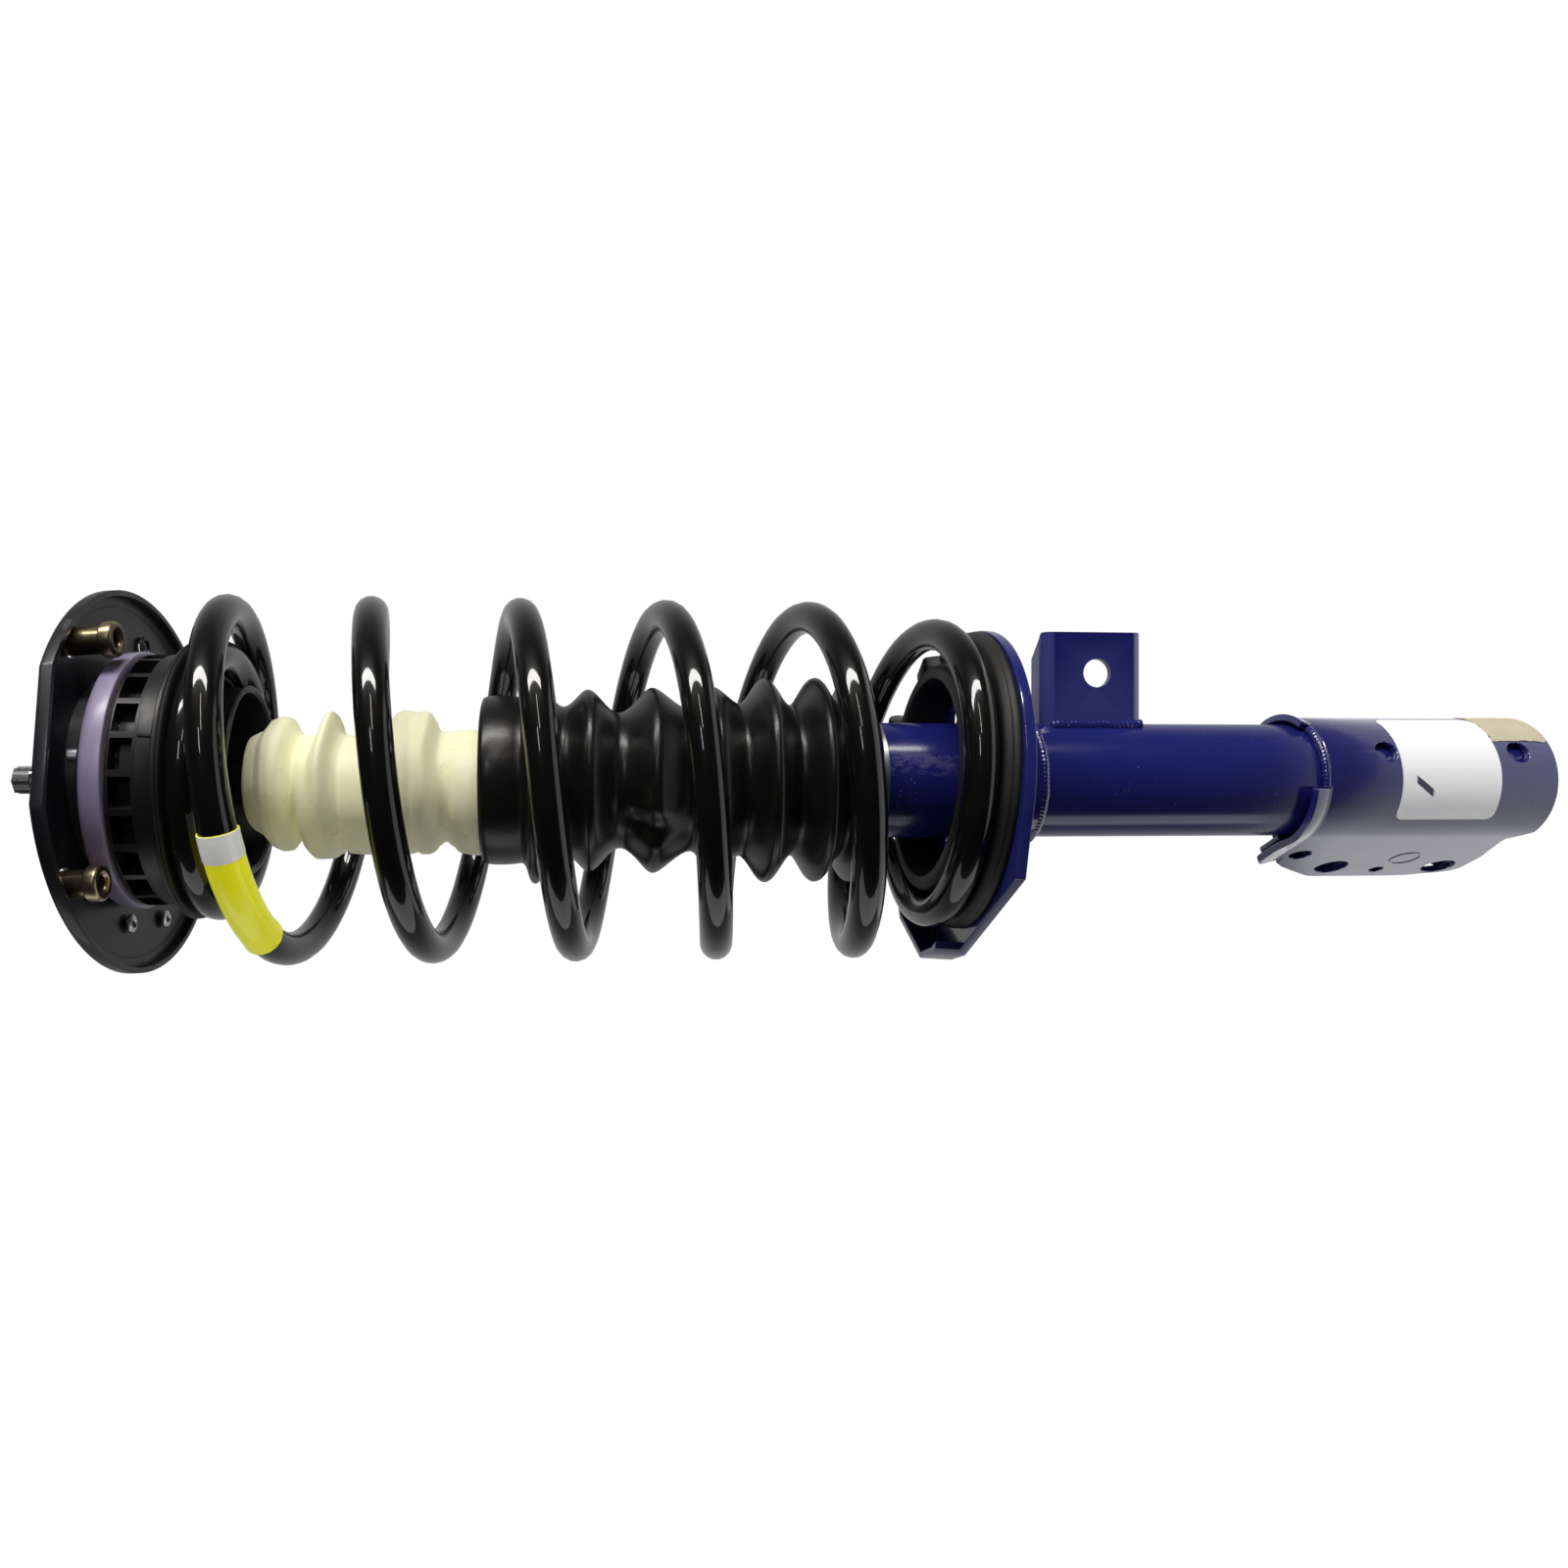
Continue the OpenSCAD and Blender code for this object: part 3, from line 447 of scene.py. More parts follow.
def leg(front, step):
    """Draws a column of the channel's edges along one leg, and returns the last column."""
    for i in range(leg_reach // leg_step):
        grown = bmesh.ops.extrude_edge_only(channel, edges=front)
        shifted(channel, grown, (0, step, 0))
        front = [e for e in grown["geom"] if isinstance(e, bmesh.types.BMEdge)
            and abs(e.verts[0].co.y - e.verts[1].co.y) < 1e-4]
    return front


# the channel: a column of edges, drawn along one leg, round the tube and along the other leg,
# with its top flared out into a stiffening lip except where it is welded to the tube
bracket_t, ear_reach, leg_reach, leg_step = 3.2, 49, 55, 5
wrap_r = tube_r + bracket_t
flare_z, flare_top, far_drop, wrap_edge = -520.6, -512, 3, -519.6
weld_from, weld_to = 237.5, 302.5
lip_profile = ((tube_foot, 0), (-600, 0), (-560, 0), (-525, 0), (flare_z, 0), (-519.5, 0), (-518.4, 0.5),
    (-516.8, 1.4), (-514.4, 2.2), (flare_top, 2.7))
channel = bmesh.new()
column = [channel.verts.new((-wrap_r, leg_reach, z)) for z, out in lip_profile]
front = leg([channel.edges.new(pair) for pair in zip(column, column[1:])], -leg_step)
bend = bmesh.ops.spin(channel, geom=front + list({v for e in front for v in e.verts}), cent=(0, 0, 0),
    axis=(0, 0, 1), angle=math.pi, steps=60, use_merge=False)
leg([e for e in bend["geom_last"] if isinstance(e, bmesh.types.BMEdge)], leg_step)
merged(channel, 1e-3)
middles = {f: f.calc_center_median() for f in channel.faces}
weld_gap = [f for f, m in middles.items()
    if m.z > wrap_edge and m.y < 0 and weld_from - 0.5 < heading(m) < weld_to + 0.5]
bmesh.ops.delete(channel, geom=weld_gap, context="FACES")
for vert in channel.verts:
    out = next(o for z, o in lip_profile if abs(z - vert.co.z) < 0.01)
    way = Vector((vert.co.x, min(vert.co.y, 0), 0)).normalized()
    if weld_from < heading(way) < weld_to:
        out = 0
    elif heading(way) > 300 or heading(way) < 90:
        out *= 0.65
        vert.co.z -= far_drop * max(0, vert.co.z - flare_z) / (flare_top - flare_z)
    out *= 1 - 0.6 * min(1, max(0, vert.co.y) / 14)
    vert.co += way * out
facing_away(channel)
clevis = blue_piece("clevis", channel, "knuckle_bracket")
walled(clevis, bracket_t)
settled(clevis)
# its side outline, as (reach, height): the lip ends in a rounded tongue clear of the ear
outline = bmesh.new()
rim = [outline.verts.new((-0.06, y / 1000, z / 1000)) for y, z in (
    (-40, tube_foot - 0.01), (-40, -500), (25.8, -500), (26, -512.2), (28.2, -512.8), (30, -514.4),
    (30.7, -516.8), (30.2, -519), (28.6, -520.9), (26.4, -521.6), (24.4, -521.6), (25.2, -523),
    (31.5, -524), (36, -529), (43, -540), (46.2, -545.5), (48.3, -549), (ear_reach, -553),
    (ear_reach, tube_foot + 36), (48.4, tube_foot + 26), (46.5, tube_foot + 19), (44.5, tube_foot + 10),
    (42.5, tube_foot + 6), (39, tube_foot + 3.5), (25, tube_foot + 3.5), (6, tube_foot + 8.3),
    (3, tube_foot + 8.3), (-4, tube_foot - 0.01))]
side = outline.faces.new(rim)
shifted(outline, bmesh.ops.extrude_face_region(outline, geom=[side]), (0.12, 0, 0))
trimmed(clevis, outline, "INTERSECT")
# through both legs, as (radius, reach, height): the bolts, the drain and the upper hole
across = spun(90, "Y")
opened(clevis, *[(r, Matrix.Translation((0, y / 1000, (tube_foot + h) / 1000)) @ across)
    for r, y, h in ((7.1, 36.5, 17.2), (7.1, 36.5, 71.6), (3, 40, 46.5), (4.8, 21, 96.8))])
# through the wrap, opposite the ears
opened(clevis, *[(4.8, Matrix.Translation((0, -0.04, (tube_foot + h) / 1000))
    @ spun(90, "X")) for h in (16.7, 78.7)])
pressed(clevis, 0.5)
# the ends of the inner channel's flanges, just under the lip
tongue_x, tongue_t, tongue_root, tongue_end, tongue_foot, tongue_top = 25.2, 2.4, 10, 27, -519.2, -513.4
tongue_middle = Vector((-tongue_x, (tongue_root + tongue_end) / 2, (tongue_foot + tongue_top) / 2))
tongues = blank(Matrix.Translation(tongue_middle) @ across
    @ Matrix.Diagonal((tongue_top - tongue_foot, tongue_end - tongue_root, 1, 1)))
rounded(tongues, [v for v in tongues.verts if v.co.y > 20], 2.8, 8, "VERTICES")
shifted(tongues, bmesh.ops.extrude_face_region(tongues, geom=tongues.faces[:]), (tongue_t, 0, 0))
paired(tongues)
pressed(blue_piece("brace_tongues", tongues), 0.5)
rings = revolved([(6, -0.2), (6.8, -0.2), (6.75, 0.3, 0.1), (6.05, 0.3, 0.1)], 48)
placed(rings, Matrix.Translation((wrap_r, 25.6, tube_foot + 41.6)) @ across)
paired(rings)
blue_piece("punch_rings", rings)
for name, stands_for, shortest in (("clevis_brace", "knuckle_brace", 0), ("link_plate", "link_bracket", 8),
        ("spring_pan", "lower_seat", 0)):
    blue_piece(name, from_cad(stands_for, 0.6, shortest), stands_for, even=True)

# ---- Weld beads: laid by hand torch round the seat's neck, at the link bracket's foot and on the
# clevis's top edge. Each bead is a row of overlapping ripples under the same paint.
degrees_in_radian = 57.3


def bead(start, sweep, radius, height, size):
    """A rippled bead that runs round the tube from one direction through a sweep of degrees."""
    shape = bmesh.new()
    steps = max(12, int(abs(sweep) * radius / degrees_in_radian / 0.45))
    bmesh.ops.create_circle(shape, segments=14, radius=size,
        matrix=spun(start) @ Matrix.Translation((radius, 0, height)) @ spun(90, "X"))
    bmesh.ops.spin(shape, geom=shape.verts[:] + shape.edges[:], cent=(0, 0, 0), axis=(0, 0, 1),
        angle=math.radians(sweep), steps=steps, use_merge=abs(sweep) > 359)
    stopped(shape)
    merged(shape, 1e-4)
    faced_out(shape)
    for vert in shape.verts:
        core = Vector((vert.co.x, vert.co.y, 0)).normalized() * radius + Vector((0, 0, height))
        arc = heading(vert.co) * radius / degrees_in_radian
        ripple = abs(math.sin(arc * math.pi / 1.7 + 0.4 * noise.noise(vert.co * 0.1)))
        swell = 0.86 + 0.16 * ripple + 0.16 * noise.noise(Vector((arc * 0.22, height, 3)))
        vert.co = core + (vert.co - core) * swell
    return shape


def seam(length, size, step=0.6):
    """A straight rippled bead, standing on the origin."""
    shape = bmesh.new()
    end = bmesh.ops.create_circle(shape, segments=14, radius=size)
    front = list({e for v in end["verts"] for e in v.link_edges})
    for i in range(int(length / step)):
        grown = bmesh.ops.extrude_edge_only(shape, edges=front)
        shifted(shape, grown, (0, 0, step))
        moved = corners_of(grown)
        front = [e for e in grown["geom"] if isinstance(e, bmesh.types.BMEdge)
            and all(v in moved for v in e.verts)]
    stopped(shape)
    faced_out(shape)
    for vert in shape.verts:
        ripple = abs(math.sin(vert.co.z * math.pi / 2.1 + 1.5 * noise.noise(vert.co * 0.15)))
        swell = 0.90 + 0.08 * ripple + 0.24 * noise.noise(vert.co * 0.16)
        vert.co.x, vert.co.y = vert.co.x * swell, vert.co.y * swell
    return shape


neck_bead = bead(0, 360, tube_r + 0.9, -392.3, 2.5)
lip_bead = bead(238, 63, tube_r + 1.5, -518.9, 1.8)
link_bead = seam(41.5, 2.5)
placed(link_bead, spun(-26) @ Matrix.Translation((24.4, -8.7, -444.2)))
for name, shape, stands_for in (("seat_weld", neck_bead, ["weld_beads"]), ("clevis_weld", lip_bead, []),
        ("link_weld", link_bead, [])):
    blue_piece(name, shape, *stands_for, sharp=60)

# ---- Label and tape: a plain paper label round the clevis with one small tear, and a strip of
# creped masking tape, torn off by hand, on the clevis's upper side. Both are bare of print.
sheet_r = wrap_r + 0.1


def wrapped(sweep, height, corner, first, foot, thickness, torn=0):
    """A sheet, height mm tall, bent through a sweep from a direction, with its flat map kept."""
    width = math.radians(sweep) * sheet_r
    shape = blank(Matrix.Diagonal((width, height, 1, 1)) @ Matrix.Translation((0.5, 0.5, 0)))
    if corner:
        rounded(shape, shape.verts[:], corner, 6, "VERTICES")
    for axis, length, step in ((Vector((1, 0, 0)), width, 0.9), (Vector((0, 1, 0)), height, 2)):
        for i in range(1, int(length / step)):
            sliced(shape, axis * i * step, axis, 1e-5)
    for vert in (shape.verts if torn else ()):
        if vert.co.y > height - 0.5:
            vert.co.y += torn * (noise.noise(Vector((vert.co.x * 0.55, 3, 0)))
                + 0.5 * noise.noise(Vector((vert.co.x * 1.9, 7, 0))))
        elif vert.co.x > width - 0.5 or vert.co.x < 0.5:
            vert.co.x += 1.3 * torn * noise.noise(Vector((1, vert.co.y * 0.22, 5)))
    spread = shape.loops.layers.uv.new("map")
    for face in shape.faces:
        for loop in face.loops:
            loop[spread].uv = (loop.vert.co.x / 1000, loop.vert.co.y / 1000)
    for vert in shape.verts:
        way = turned(first + math.degrees(vert.co.x / sheet_r))
        vert.co = Vector((way.x * sheet_r, way.y * sheet_r, foot + vert.co.y))
    facing_away(shape)
    bmesh.ops.solidify(shape, geom=shape.faces[:], thickness=-thickness)
    return shape


label_skin, at, shader = finish("label_paper", Coat_Weight=0.35, Coat_Roughness=0.12,
    Subsurface_Weight=0.05)
flat = at.node("ShaderNodeTexCoord", output=2)
run, rise = axis_of(flat, 0), axis_of(flat, 1)
# a shallow tear that lets the paint show, and the crease that runs on from it, painted darker as shade
slope = run - 0.0158 - (rise - 0.0355) * 0.76
tear = ramp(slope * slope, 0.0000042, 0.0000020) * ramp(rise, 0.0308, 0.0322) * ramp(rise, 0.0402, 0.0390)
shaded_crease = ramp(slope * slope, 0.000006, 0) * ramp(rise, 0.022, 0.03) * ramp(rise, 0.045, 0.040)
fibre = grain(at, 0.7, 3, 0.7)
colour = mix(grain(at, 24, 2), (0.90, 0.91, 0.93), (0.96, 0.96, 0.97))
# painted shade: the paper is darker along the crease
colour = mix(shaded_crease * 0.25, colour, (0.55, 0.56, 0.62))
# painted light: the paper glows a little, except in the tear
plug(shader, Base_Color=mix(tear, colour, (0.03, 0.03, 0.10)), Roughness=0.34 + 0.1 * fibre,
    Normal=relief(fibre * 0.3 - shaded_crease + grain(at, 12) * 1.2, 0.06),
    Emission_Color=mix(tear, (0.96, 0.97, 1), (0, 0, 0)), Emission_Strength=0.15)
label = wrapped(107, 45.9, 3.5, 207, tube_foot + 27.3, 0.25)
piece("bare_label", label, label_skin, "strut_body", "label_white", "blank_label", sharp=60)

tape_skin, at, shader = finish("creped_tape")
flat = at.node("ShaderNodeTexCoord", output=2)
crepe = flat.node("ShaderNodeTexWave", {"wave_type": "BANDS", "bands_direction": "Y"}, 1, Vector=flat,
    Scale=260, Distortion=5, Detail=3, Detail_Scale=1.4)
colour = mix(grain(at, 9, 3), (0.50, 0.44, 0.29), (0.64, 0.58, 0.41))
plug(shader, Base_Color=mix(crepe * 0.4, colour, (0.72, 0.67, 0.52)), Roughness=0.62 + 0.2 * crepe,
    Normal=relief(crepe + 0.8 * grain(at, 3, 3), 0.12))
tape = wrapped(53, 26, 0, 281, tube_foot + 1, 0.22, 1.6)
piece("masking_tape", tape, tape_skin, "strut_body", "beige_tape", "tape_patch", sharp=60)

# ---- Spring: 13.8 mm wire, coiled cold, shot-peened and powder-coated gloss black. Its upper end
# winds in under the bearing and its lower end lies in the rubber of the seat.
wire_r, coil_turns, coil_top_z, coil_pitch = 6.9, 5.05, -45, 60.792
coil_r, coil_top_r, coil_foot_r = 71.1, 52, 58.5
coil_front, coil_lean, lean_heading = 244, 4, 334
wire_first, wire_last = -33 / 24, 134 / 24


def ease(s):
    """Goes softly from 0 to 1 as s does, and stays there outside."""
    s = min(1, max(0, s))
    return s * s * (3 - 2 * s)


def coil_place(u):
    """A point on the wire's centre line, in mm, counted in turns from the first full front."""
    in_at_top, in_at_foot = 1 - ease((u + 0.78) / 0.53), ease((u - coil_turns + 0.7) / 0.8)
    radius = coil_r + (coil_top_r - coil_r) * in_at_top + (coil_foot_r - coil_r) * in_at_foot
    # the turns fallen: none in the dead coils, and softly in and out of the full pitch
    fall = (0 if u < -0.5 else (u + 0.5) ** 2 if u < 0 else u + 0.25 if u < coil_turns - 0.5
        else u + 0.25 - (u - coil_turns + 0.5) ** 2 if u < coil_turns else coil_turns)
    way = turned(coil_front - 360 * u)
    lean = way.dot(turned(lean_heading)) * min(1, max(0, u / coil_turns))
    drop = math.tan(math.radians(coil_lean)) * radius * lean
    return Vector((way.x * radius, way.y * radius, coil_top_z - coil_pitch * fall - drop))


def wire(first, last, radius, steps=60, capped=True):
    """The wire, or a sleeve on it, from one turn count to another, as a mesh in mm."""
    line = bpy.data.curves.new("wire", "CURVE")
    line.dimensions, line.bevel_depth, line.bevel_resolution, line.use_fill_caps = "3D", radius, 6, capped
    strand = line.splines.new("POLY")
    count = round((last - first) * steps) + 1
    strand.points.add(count - 1)
    for i, point in enumerate(strand.points):
        point.co = (*coil_place(first + (last - first) * i / (count - 1)), 1)
    drawn = linked("wire", line)
    bpy.context.view_layer.update()
    skin = bpy.data.meshes.new_from_object(drawn.evaluated_get(bpy.context.evaluated_depsgraph_get()))
    shape = bmesh.new()
    shape.from_mesh(skin)
    bpy.data.objects.remove(drawn)
    bpy.data.meshes.remove(skin)
    bpy.data.curves.remove(line)
    merged(shape, 1e-3)
    faced_out(shape)
    return shape


gloss_black, at, shader = finish("spring_powder_coat", Coat_Weight=0.85, Coat_Roughness=0.06,
    Specular_IOR_Level=0.08)
chips = ramp(grain(at, 1.1, 2), 0.79, 0.82) * ramp(grain(at, 26), 0.52, 0.66)
colour = mix(grain(at, 40, 3), (0.0035, 0.0034, 0.0034), (0.0060, 0.0058, 0.0056))
plug(shader, Base_Color=mix(chips, colour, (0.12, 0.12, 0.12)), Roughness=0.26 + 0.10 * grain(at, 9, 3),
    Normal=relief(grain(at, 1.3, 1.5) + 0.5 * grain(at, 5), 0.014))
coil = wire(wire_first, wire_last, wire_r)
rounded(coil, [e for e in coil.edges if e.is_manifold and e.calc_face_angle(0) > math.radians(60)], 0.9)
spring = piece("spring", coil, gloss_black, "spring_seat", "spring_black", "coil_spring")
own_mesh(spring)

# ---- Marking sleeve: a bare yellow heat-shrink tube on the wire's first full turn, with a white
# band at its upper end. Its lower end stands a little proud where it was cut. Both films glow a
# little: painted light.
for name, skin_name, first, last, size, low, high, painted_glow, proud, stands_for in (
        ("marking_sleeve", "yellow_film", 1 / 24, 4 / 24, wire_r + 0.62,
            (0.90, 0.88, 0.003), (0.98, 0.96, 0.01), 0.32, 0.05, ["spring_tag"]),
        ("marking_band", "white_film", 1 / 24 + 0.0004, 1.55 / 24, wire_r + 0.85,
            (0.84, 0.85, 0.82), (0.93, 0.94, 0.92), 0.18, 0, [])):
    # painted light: each film glows a little in its own colour
    film, at, shader = finish(skin_name, Coat_Weight=0.4, Coat_Roughness=0.15)
    crinkle = grain(at, 5, 3, 0.6, (1, 1, 3))
    plug(shader, Base_Color=mix(crinkle, low, high), Roughness=0.30 + 0.15 * grain(at, 2, 3),
        Normal=relief(crinkle, 0.25), Emission_Color=mix(crinkle, low, high),
        Emission_Strength=painted_glow)
    sleeve = wire(first, last, size, 240, False)
    cores = [coil_place(first + (last - first) * i / 60) for i in range(61)]
    for vert in sleeve.verts:
        near = min(range(61), key=lambda i: (cores[i] - vert.co).length)
        swell = 1 + proud * ease((near / 60 - 0.9) / 0.1) + 0.008 * noise.noise(vert.co * 0.35)
        vert.co = cores[near] + (vert.co - cores[near]) * swell
    bmesh.ops.solidify(sleeve, geom=sleeve.faces[:], thickness=0.3)
    faced_out(sleeve)
    made = piece(name, sleeve, film, "spring_seat", "yellow_tag", *stands_for)
    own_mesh(made)

# ---- Lower isolator: a moulded rubber ring that lies in the seat, with a soft double lip round
# its rim, a raised hub inside the coil and a short fin a little way past the wire's end.
seat_z, seat_lean = -366, 4


def slab(x, corners, thickness):
    """A block that stands at x and grows outwards, drawn from its four (y, z) corners, in mm."""
    shape = blank()
    for vert, (y, z) in zip(sorted(shape.verts, key=lambda v: (v.co.y, v.co.x)), corners):
        vert.co = Vector((x, y, z))
    shifted(shape, bmesh.ops.extrude_face_region(shape, geom=shape.faces[:]), (thickness, 0, 0))
    return shape


seat_tip = (Matrix.Translation((0, 0, seat_z)) @ spun(seat_lean, turned(64))
    @ Matrix.Translation((0, 0, -seat_z)))
rubber, at, shader = finish("moulded_rubber", Specular_IOR_Level=0.35)
bloom = grain(at, 18, 3)
plug(shader, Base_Color=mix(bloom, (0.008, 0.008, 0.008), (0.022, 0.021, 0.020)),
    Roughness=0.42 + 0.18 * bloom, Normal=relief(grain(at, 0.8, 3) + 0.6 * grain(at, 4), 0.05))
pad = revolved([(44, 0, 0.5), (65.7, 0, 0.8), (66.2, 2, 0.9), (65.3, 3, 0.6), (65.5, 4.2, 0.6),
    (63.4, 6.7, 1.2), (58.5, 6.4, 0.6), (51.6, 7.2, 0.8), (50.5, 16, 1.2), (48.5, 18, 0.8), (44, 18, 0.8)],
    128, base=seat_z)
fin = slab(54.5, [(y, seat_z + z) for y, z in ((-9, 5.5), (13, 5.5), (-6, 13.5), (8, 12.5))], 9)
rounded(fin, fin.edges[:], 1.6)
faced_out(fin)
placed(fin, spun(5))
for name, shape, stands_for in (("seat_rubber", pad, ["lower_isolator"]), ("seat_rubber_fin", fin, [])):
    placed(shape, seat_tip)
    piece(name, shape, rubber, "strut_body", "rubber", *stands_for)

# ---- Bump stop: one moulding of cellular polyurethane, cream and slightly translucent, pressed
# into the cup. On the strut its lobes fold up in turn as it comes to its stop; this shape stays as moulded.
foam, at, shader = finish("cellular_urethane", Subsurface_Weight=0.35,
    Subsurface_Radius=(0.006, 0.005, 0.003), IOR=1.4)
cells = grain(at, 0.6, 3, 0.65)
clouds = grain(at, 22, 4, 0.6)
colour = mix(clouds, (0.92, 0.92, 0.57), (0.97, 0.96, 0.72))
# painted light: a faint cream glow brightens the foam
plug(shader, Emission_Color=(1, 0.98, 0.70, 1), Emission_Strength=0.05,
    Base_Color=mix(ramp(grain(at, 5, 3), 0.6, 0.75) * 0.35, colour, (0.62, 0.61, 0.36)),
    Roughness=0.36 + 0.2 * cells, Normal=relief(cells * 0.5 + clouds * 1.2, 0.16))
stop_top, stop_length, stop_bore = -56.4, 101.6, 10.4
# its outlines on two opposite sides, as (height, radius): it has set a little lopsided
upper_line = ((stop_top, 16.5), (-57.6, 19.2), (-62.6, 21), (-64.2, 23.4), (-66, 25.8), (-70, 27.2),
    (-73.2, 26.6), (-75.2, 22.6), (-77.2, 19), (-84, 18.8), (-86, 23), (-88, 28.4), (-90, 29.8),
    (-91.8, 26.8), (-93.4, 20.6), (-97, 19.2), (-105, 19.4), (-112, 20), (-115.4, 23.6), (-117.6, 28.6),
    (-120, 29.8), (-124.4, 29.4), (-125.6, 28.7), (-126.8, 29.4), (-131.2, 29), (-133.7, 25.2),
    (-135.8, 20.4), (-140, 20.6), (-146, 21.4), (-157, 21.8), (-158, 21.2))
lower_line = ((stop_top, 18.5), (-58, 21.4), (-62, 23.4), (-64, 26.4), (-66.6, 29), (-70, 30.2),
    (-73.4, 29.8), (-75.6, 27), (-77.8, 24), (-79.2, 26.4), (-80.8, 31.2), (-84, 33.8), (-90, 33.6),
    (-93.6, 31.6), (-96, 29.8), (-98.4, 31.6), (-105, 32.2), (-112, 31.8), (-118, 31.6), (-123.4, 32),
    (-125.2, 31), (-127, 32.2), (-130.2, 32.2), (-132.4, 31.2), (-134.6, 28.4), (-137.8, 26.4),
    (-140.4, 28.4), (-144, 31.4), (-150, 32.4), (-157.2, 32.2), (-158, 31.2))


def along(line, z):
    """Reads a moulded outline, (height, radius) from the top down, at a height."""
    for (a, ra), (b, rb) in zip(line, line[1:]):
        if z >= b:
            return ra + (rb - ra) * ease((a - z) / (a - b))
    return line[-1][1]


stop = revolved([(stop_bore, -57)] + [(30, stop_top - stop_length * i / 100) for i in range(101)]
    + [(stop_bore, -158)], 72)
for vert in stop.verts:
    reach = vert.co.xy.length
    if reach > 15:
        way = vert.co / reach
        share = 0.5 + 0.5 * Vector((way.x, way.y, 0)).dot(turned(334))
        swirl = Vector((way.x * 1.6, way.y * 1.6, vert.co.z * 0.05))
        wander = 1.2 * noise.noise(swirl + Vector((9, 4, 1)))
        z = vert.co.z + wander * ease((stop_top - vert.co.z) / 8)
        radius = (share * along(upper_line, z) + (1 - share) * along(lower_line, z)
            + 0.5 * noise.noise(swirl))
        vert.co.x, vert.co.y = way.x * radius, way.y * radius
bmesh.ops.smooth_vert(stop, verts=stop.verts[:], factor=0.5, use_axis_x=True, use_axis_y=True,
    use_axis_z=True)
piece("bump_stop_foam", stop, foam, "top_mount", "cream_urethane", "bump_stop", sharp=75)

# ---- Dust boot: blow-moulded rubber bellows, satin black. Its collar snaps over the end of the
# bump stop and its folds have taken a set; one is dented in at the lower front.
boot_rubber, at, shader = finish("boot_rubber", Specular_IOR_Level=0.4)
bloom = grain(at, 16, 4, 0.6)
plug(shader, Base_Color=mix(bloom, (0.004, 0.004, 0.004), (0.011, 0.010, 0.010)),
    Roughness=0.24 + 0.14 * bloom, Normal=relief(grain(at, 1.1, 3) * 0.4 + grain(at, 7, 2), 0.09))
dent_heading, dent_z, dent_depth, collar_foot, boot_wall = 212, -224, 4.6, -172, 1.4
boot = revolved([(27.2, -153.4), (34.6, -153), (36.4, -154.6), (36.6, -162), (36.2, -168.6), (35.4, -171),
    (38.6, -172.4), (43.2, -173.4), (44.8, -175), (44.6, -176.9), (41, -179.6), (34.6, -183.4),
    (31.6, -186.6), (31.8, -189.6), (35.4, -193.4), (38.9, -196.4), (39.8, -198.6), (39, -201),
    (35, -204.6), (30.6, -208.4), (29.2, -211.6), (29.8, -214.6), (33.6, -219), (39.2, -223.4),
    (40.9, -226), (40.2, -228.8), (36, -234), (32, -239.4), (30.9, -243), (32.2, -245.6), (37.4, -248.6),
    (40.6, -250.8), (41.1, -252.6), (39.8, -255.4), (35.6, -260), (33, -263.4), (33.2, -265.6),
    (37.6, -269.4), (43, -272.4), (45, -274.6), (44.4, -277), (40, -280.4), (34.4, -284), (32.5, -286.6),
    (33.6, -289), (39.6, -292.8), (44.2, -295.4), (45.3, -297.6), (44.2, -299.8), (38.8, -302.8),
    (35, -305.2), (35.6, -307.2), (41, -309.6), (45, -311.8), (45.9, -313.6), (44.8, -315.6), (39.6, -318),
    (36.4, -320.2), (34.8, -320.6)], 96, closed=False)
for vert in boot.verts:
    way = vert.co.xy / vert.co.xy.length
    off = heading(vert.co) - dent_heading
    dent = ease(1 - abs(off) / 15) * ease(1 - abs(vert.co.z - dent_z) / 13)
    sag = 0
    if vert.co.z < collar_foot:
        sag = 0.7 * noise.noise(Vector((way.x * 1.3, way.y * 1.3, vert.co.z * 0.03)))
    vert.co -= Vector((way.x, way.y, 0)) * (dent_depth * dent + sag)
    vert.co.z += sag * 0.9
boot_piece = piece("boot_bellows", boot, boot_rubber, "top_mount", "boot_rubber", "dust_boot", sharp=170)
walled(boot_piece, boot_wall)
softer = boot_piece.modifiers.new("skin", "SUBSURF")
softer.levels = softer.render_levels = 1
bpy.context.view_layer.update()
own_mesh(settled(boot_piece))

# ---- Bearing housing: glass-filled nylon, moulded with 22 thin ribs round its neck, a smooth band
# below them and the step that the spring's rubber sits under. The cup that holds the bump stop
# is a second moulding, pressed up into it.
nylon, at, shader = finish("filled_nylon", Specular_IOR_Level=0.4)
fibres = grain(at, 0.5, 3, 0.7, (1, 1, 2))
flow = grain(at, 20, 3)
# painted highlight along outer edges, with the real pale glass fibres
pale = edge_highlight(at, 0.53, 0.62) * 0.5 + fibres * 0.3
plug(shader, Base_Color=mix(pale, (0.005, 0.005, 0.006), (0.030, 0.030, 0.034)),
    Roughness=0.30 + 0.16 * flow, Normal=relief(fibres + 0.5 * flow, 0.03))
housing_top, housing_foot, housing_bore = -15.5, -35.5, 39.2
ribs, rib_steps, pocket_z, pocket_r = 22, 6, -21.7, 45.6
housing = revolved([(housing_bore, housing_top, 0.3), (50.6, housing_top, 0.3),
    (52.5, housing_top - 1.3, 0.2), (52.5, housing_top - 1.9), (52.5, -26), (52.7, -27.2, 0.3),
    (52.7, -33.4, 0.4), (57.2, -34, 0.5),
    (57.2, housing_foot, 0.3), (housing_bore, housing_foot, 0.3)], ribs * rib_steps)
middles = {f: f.calc_center_median() for f in housing.faces}
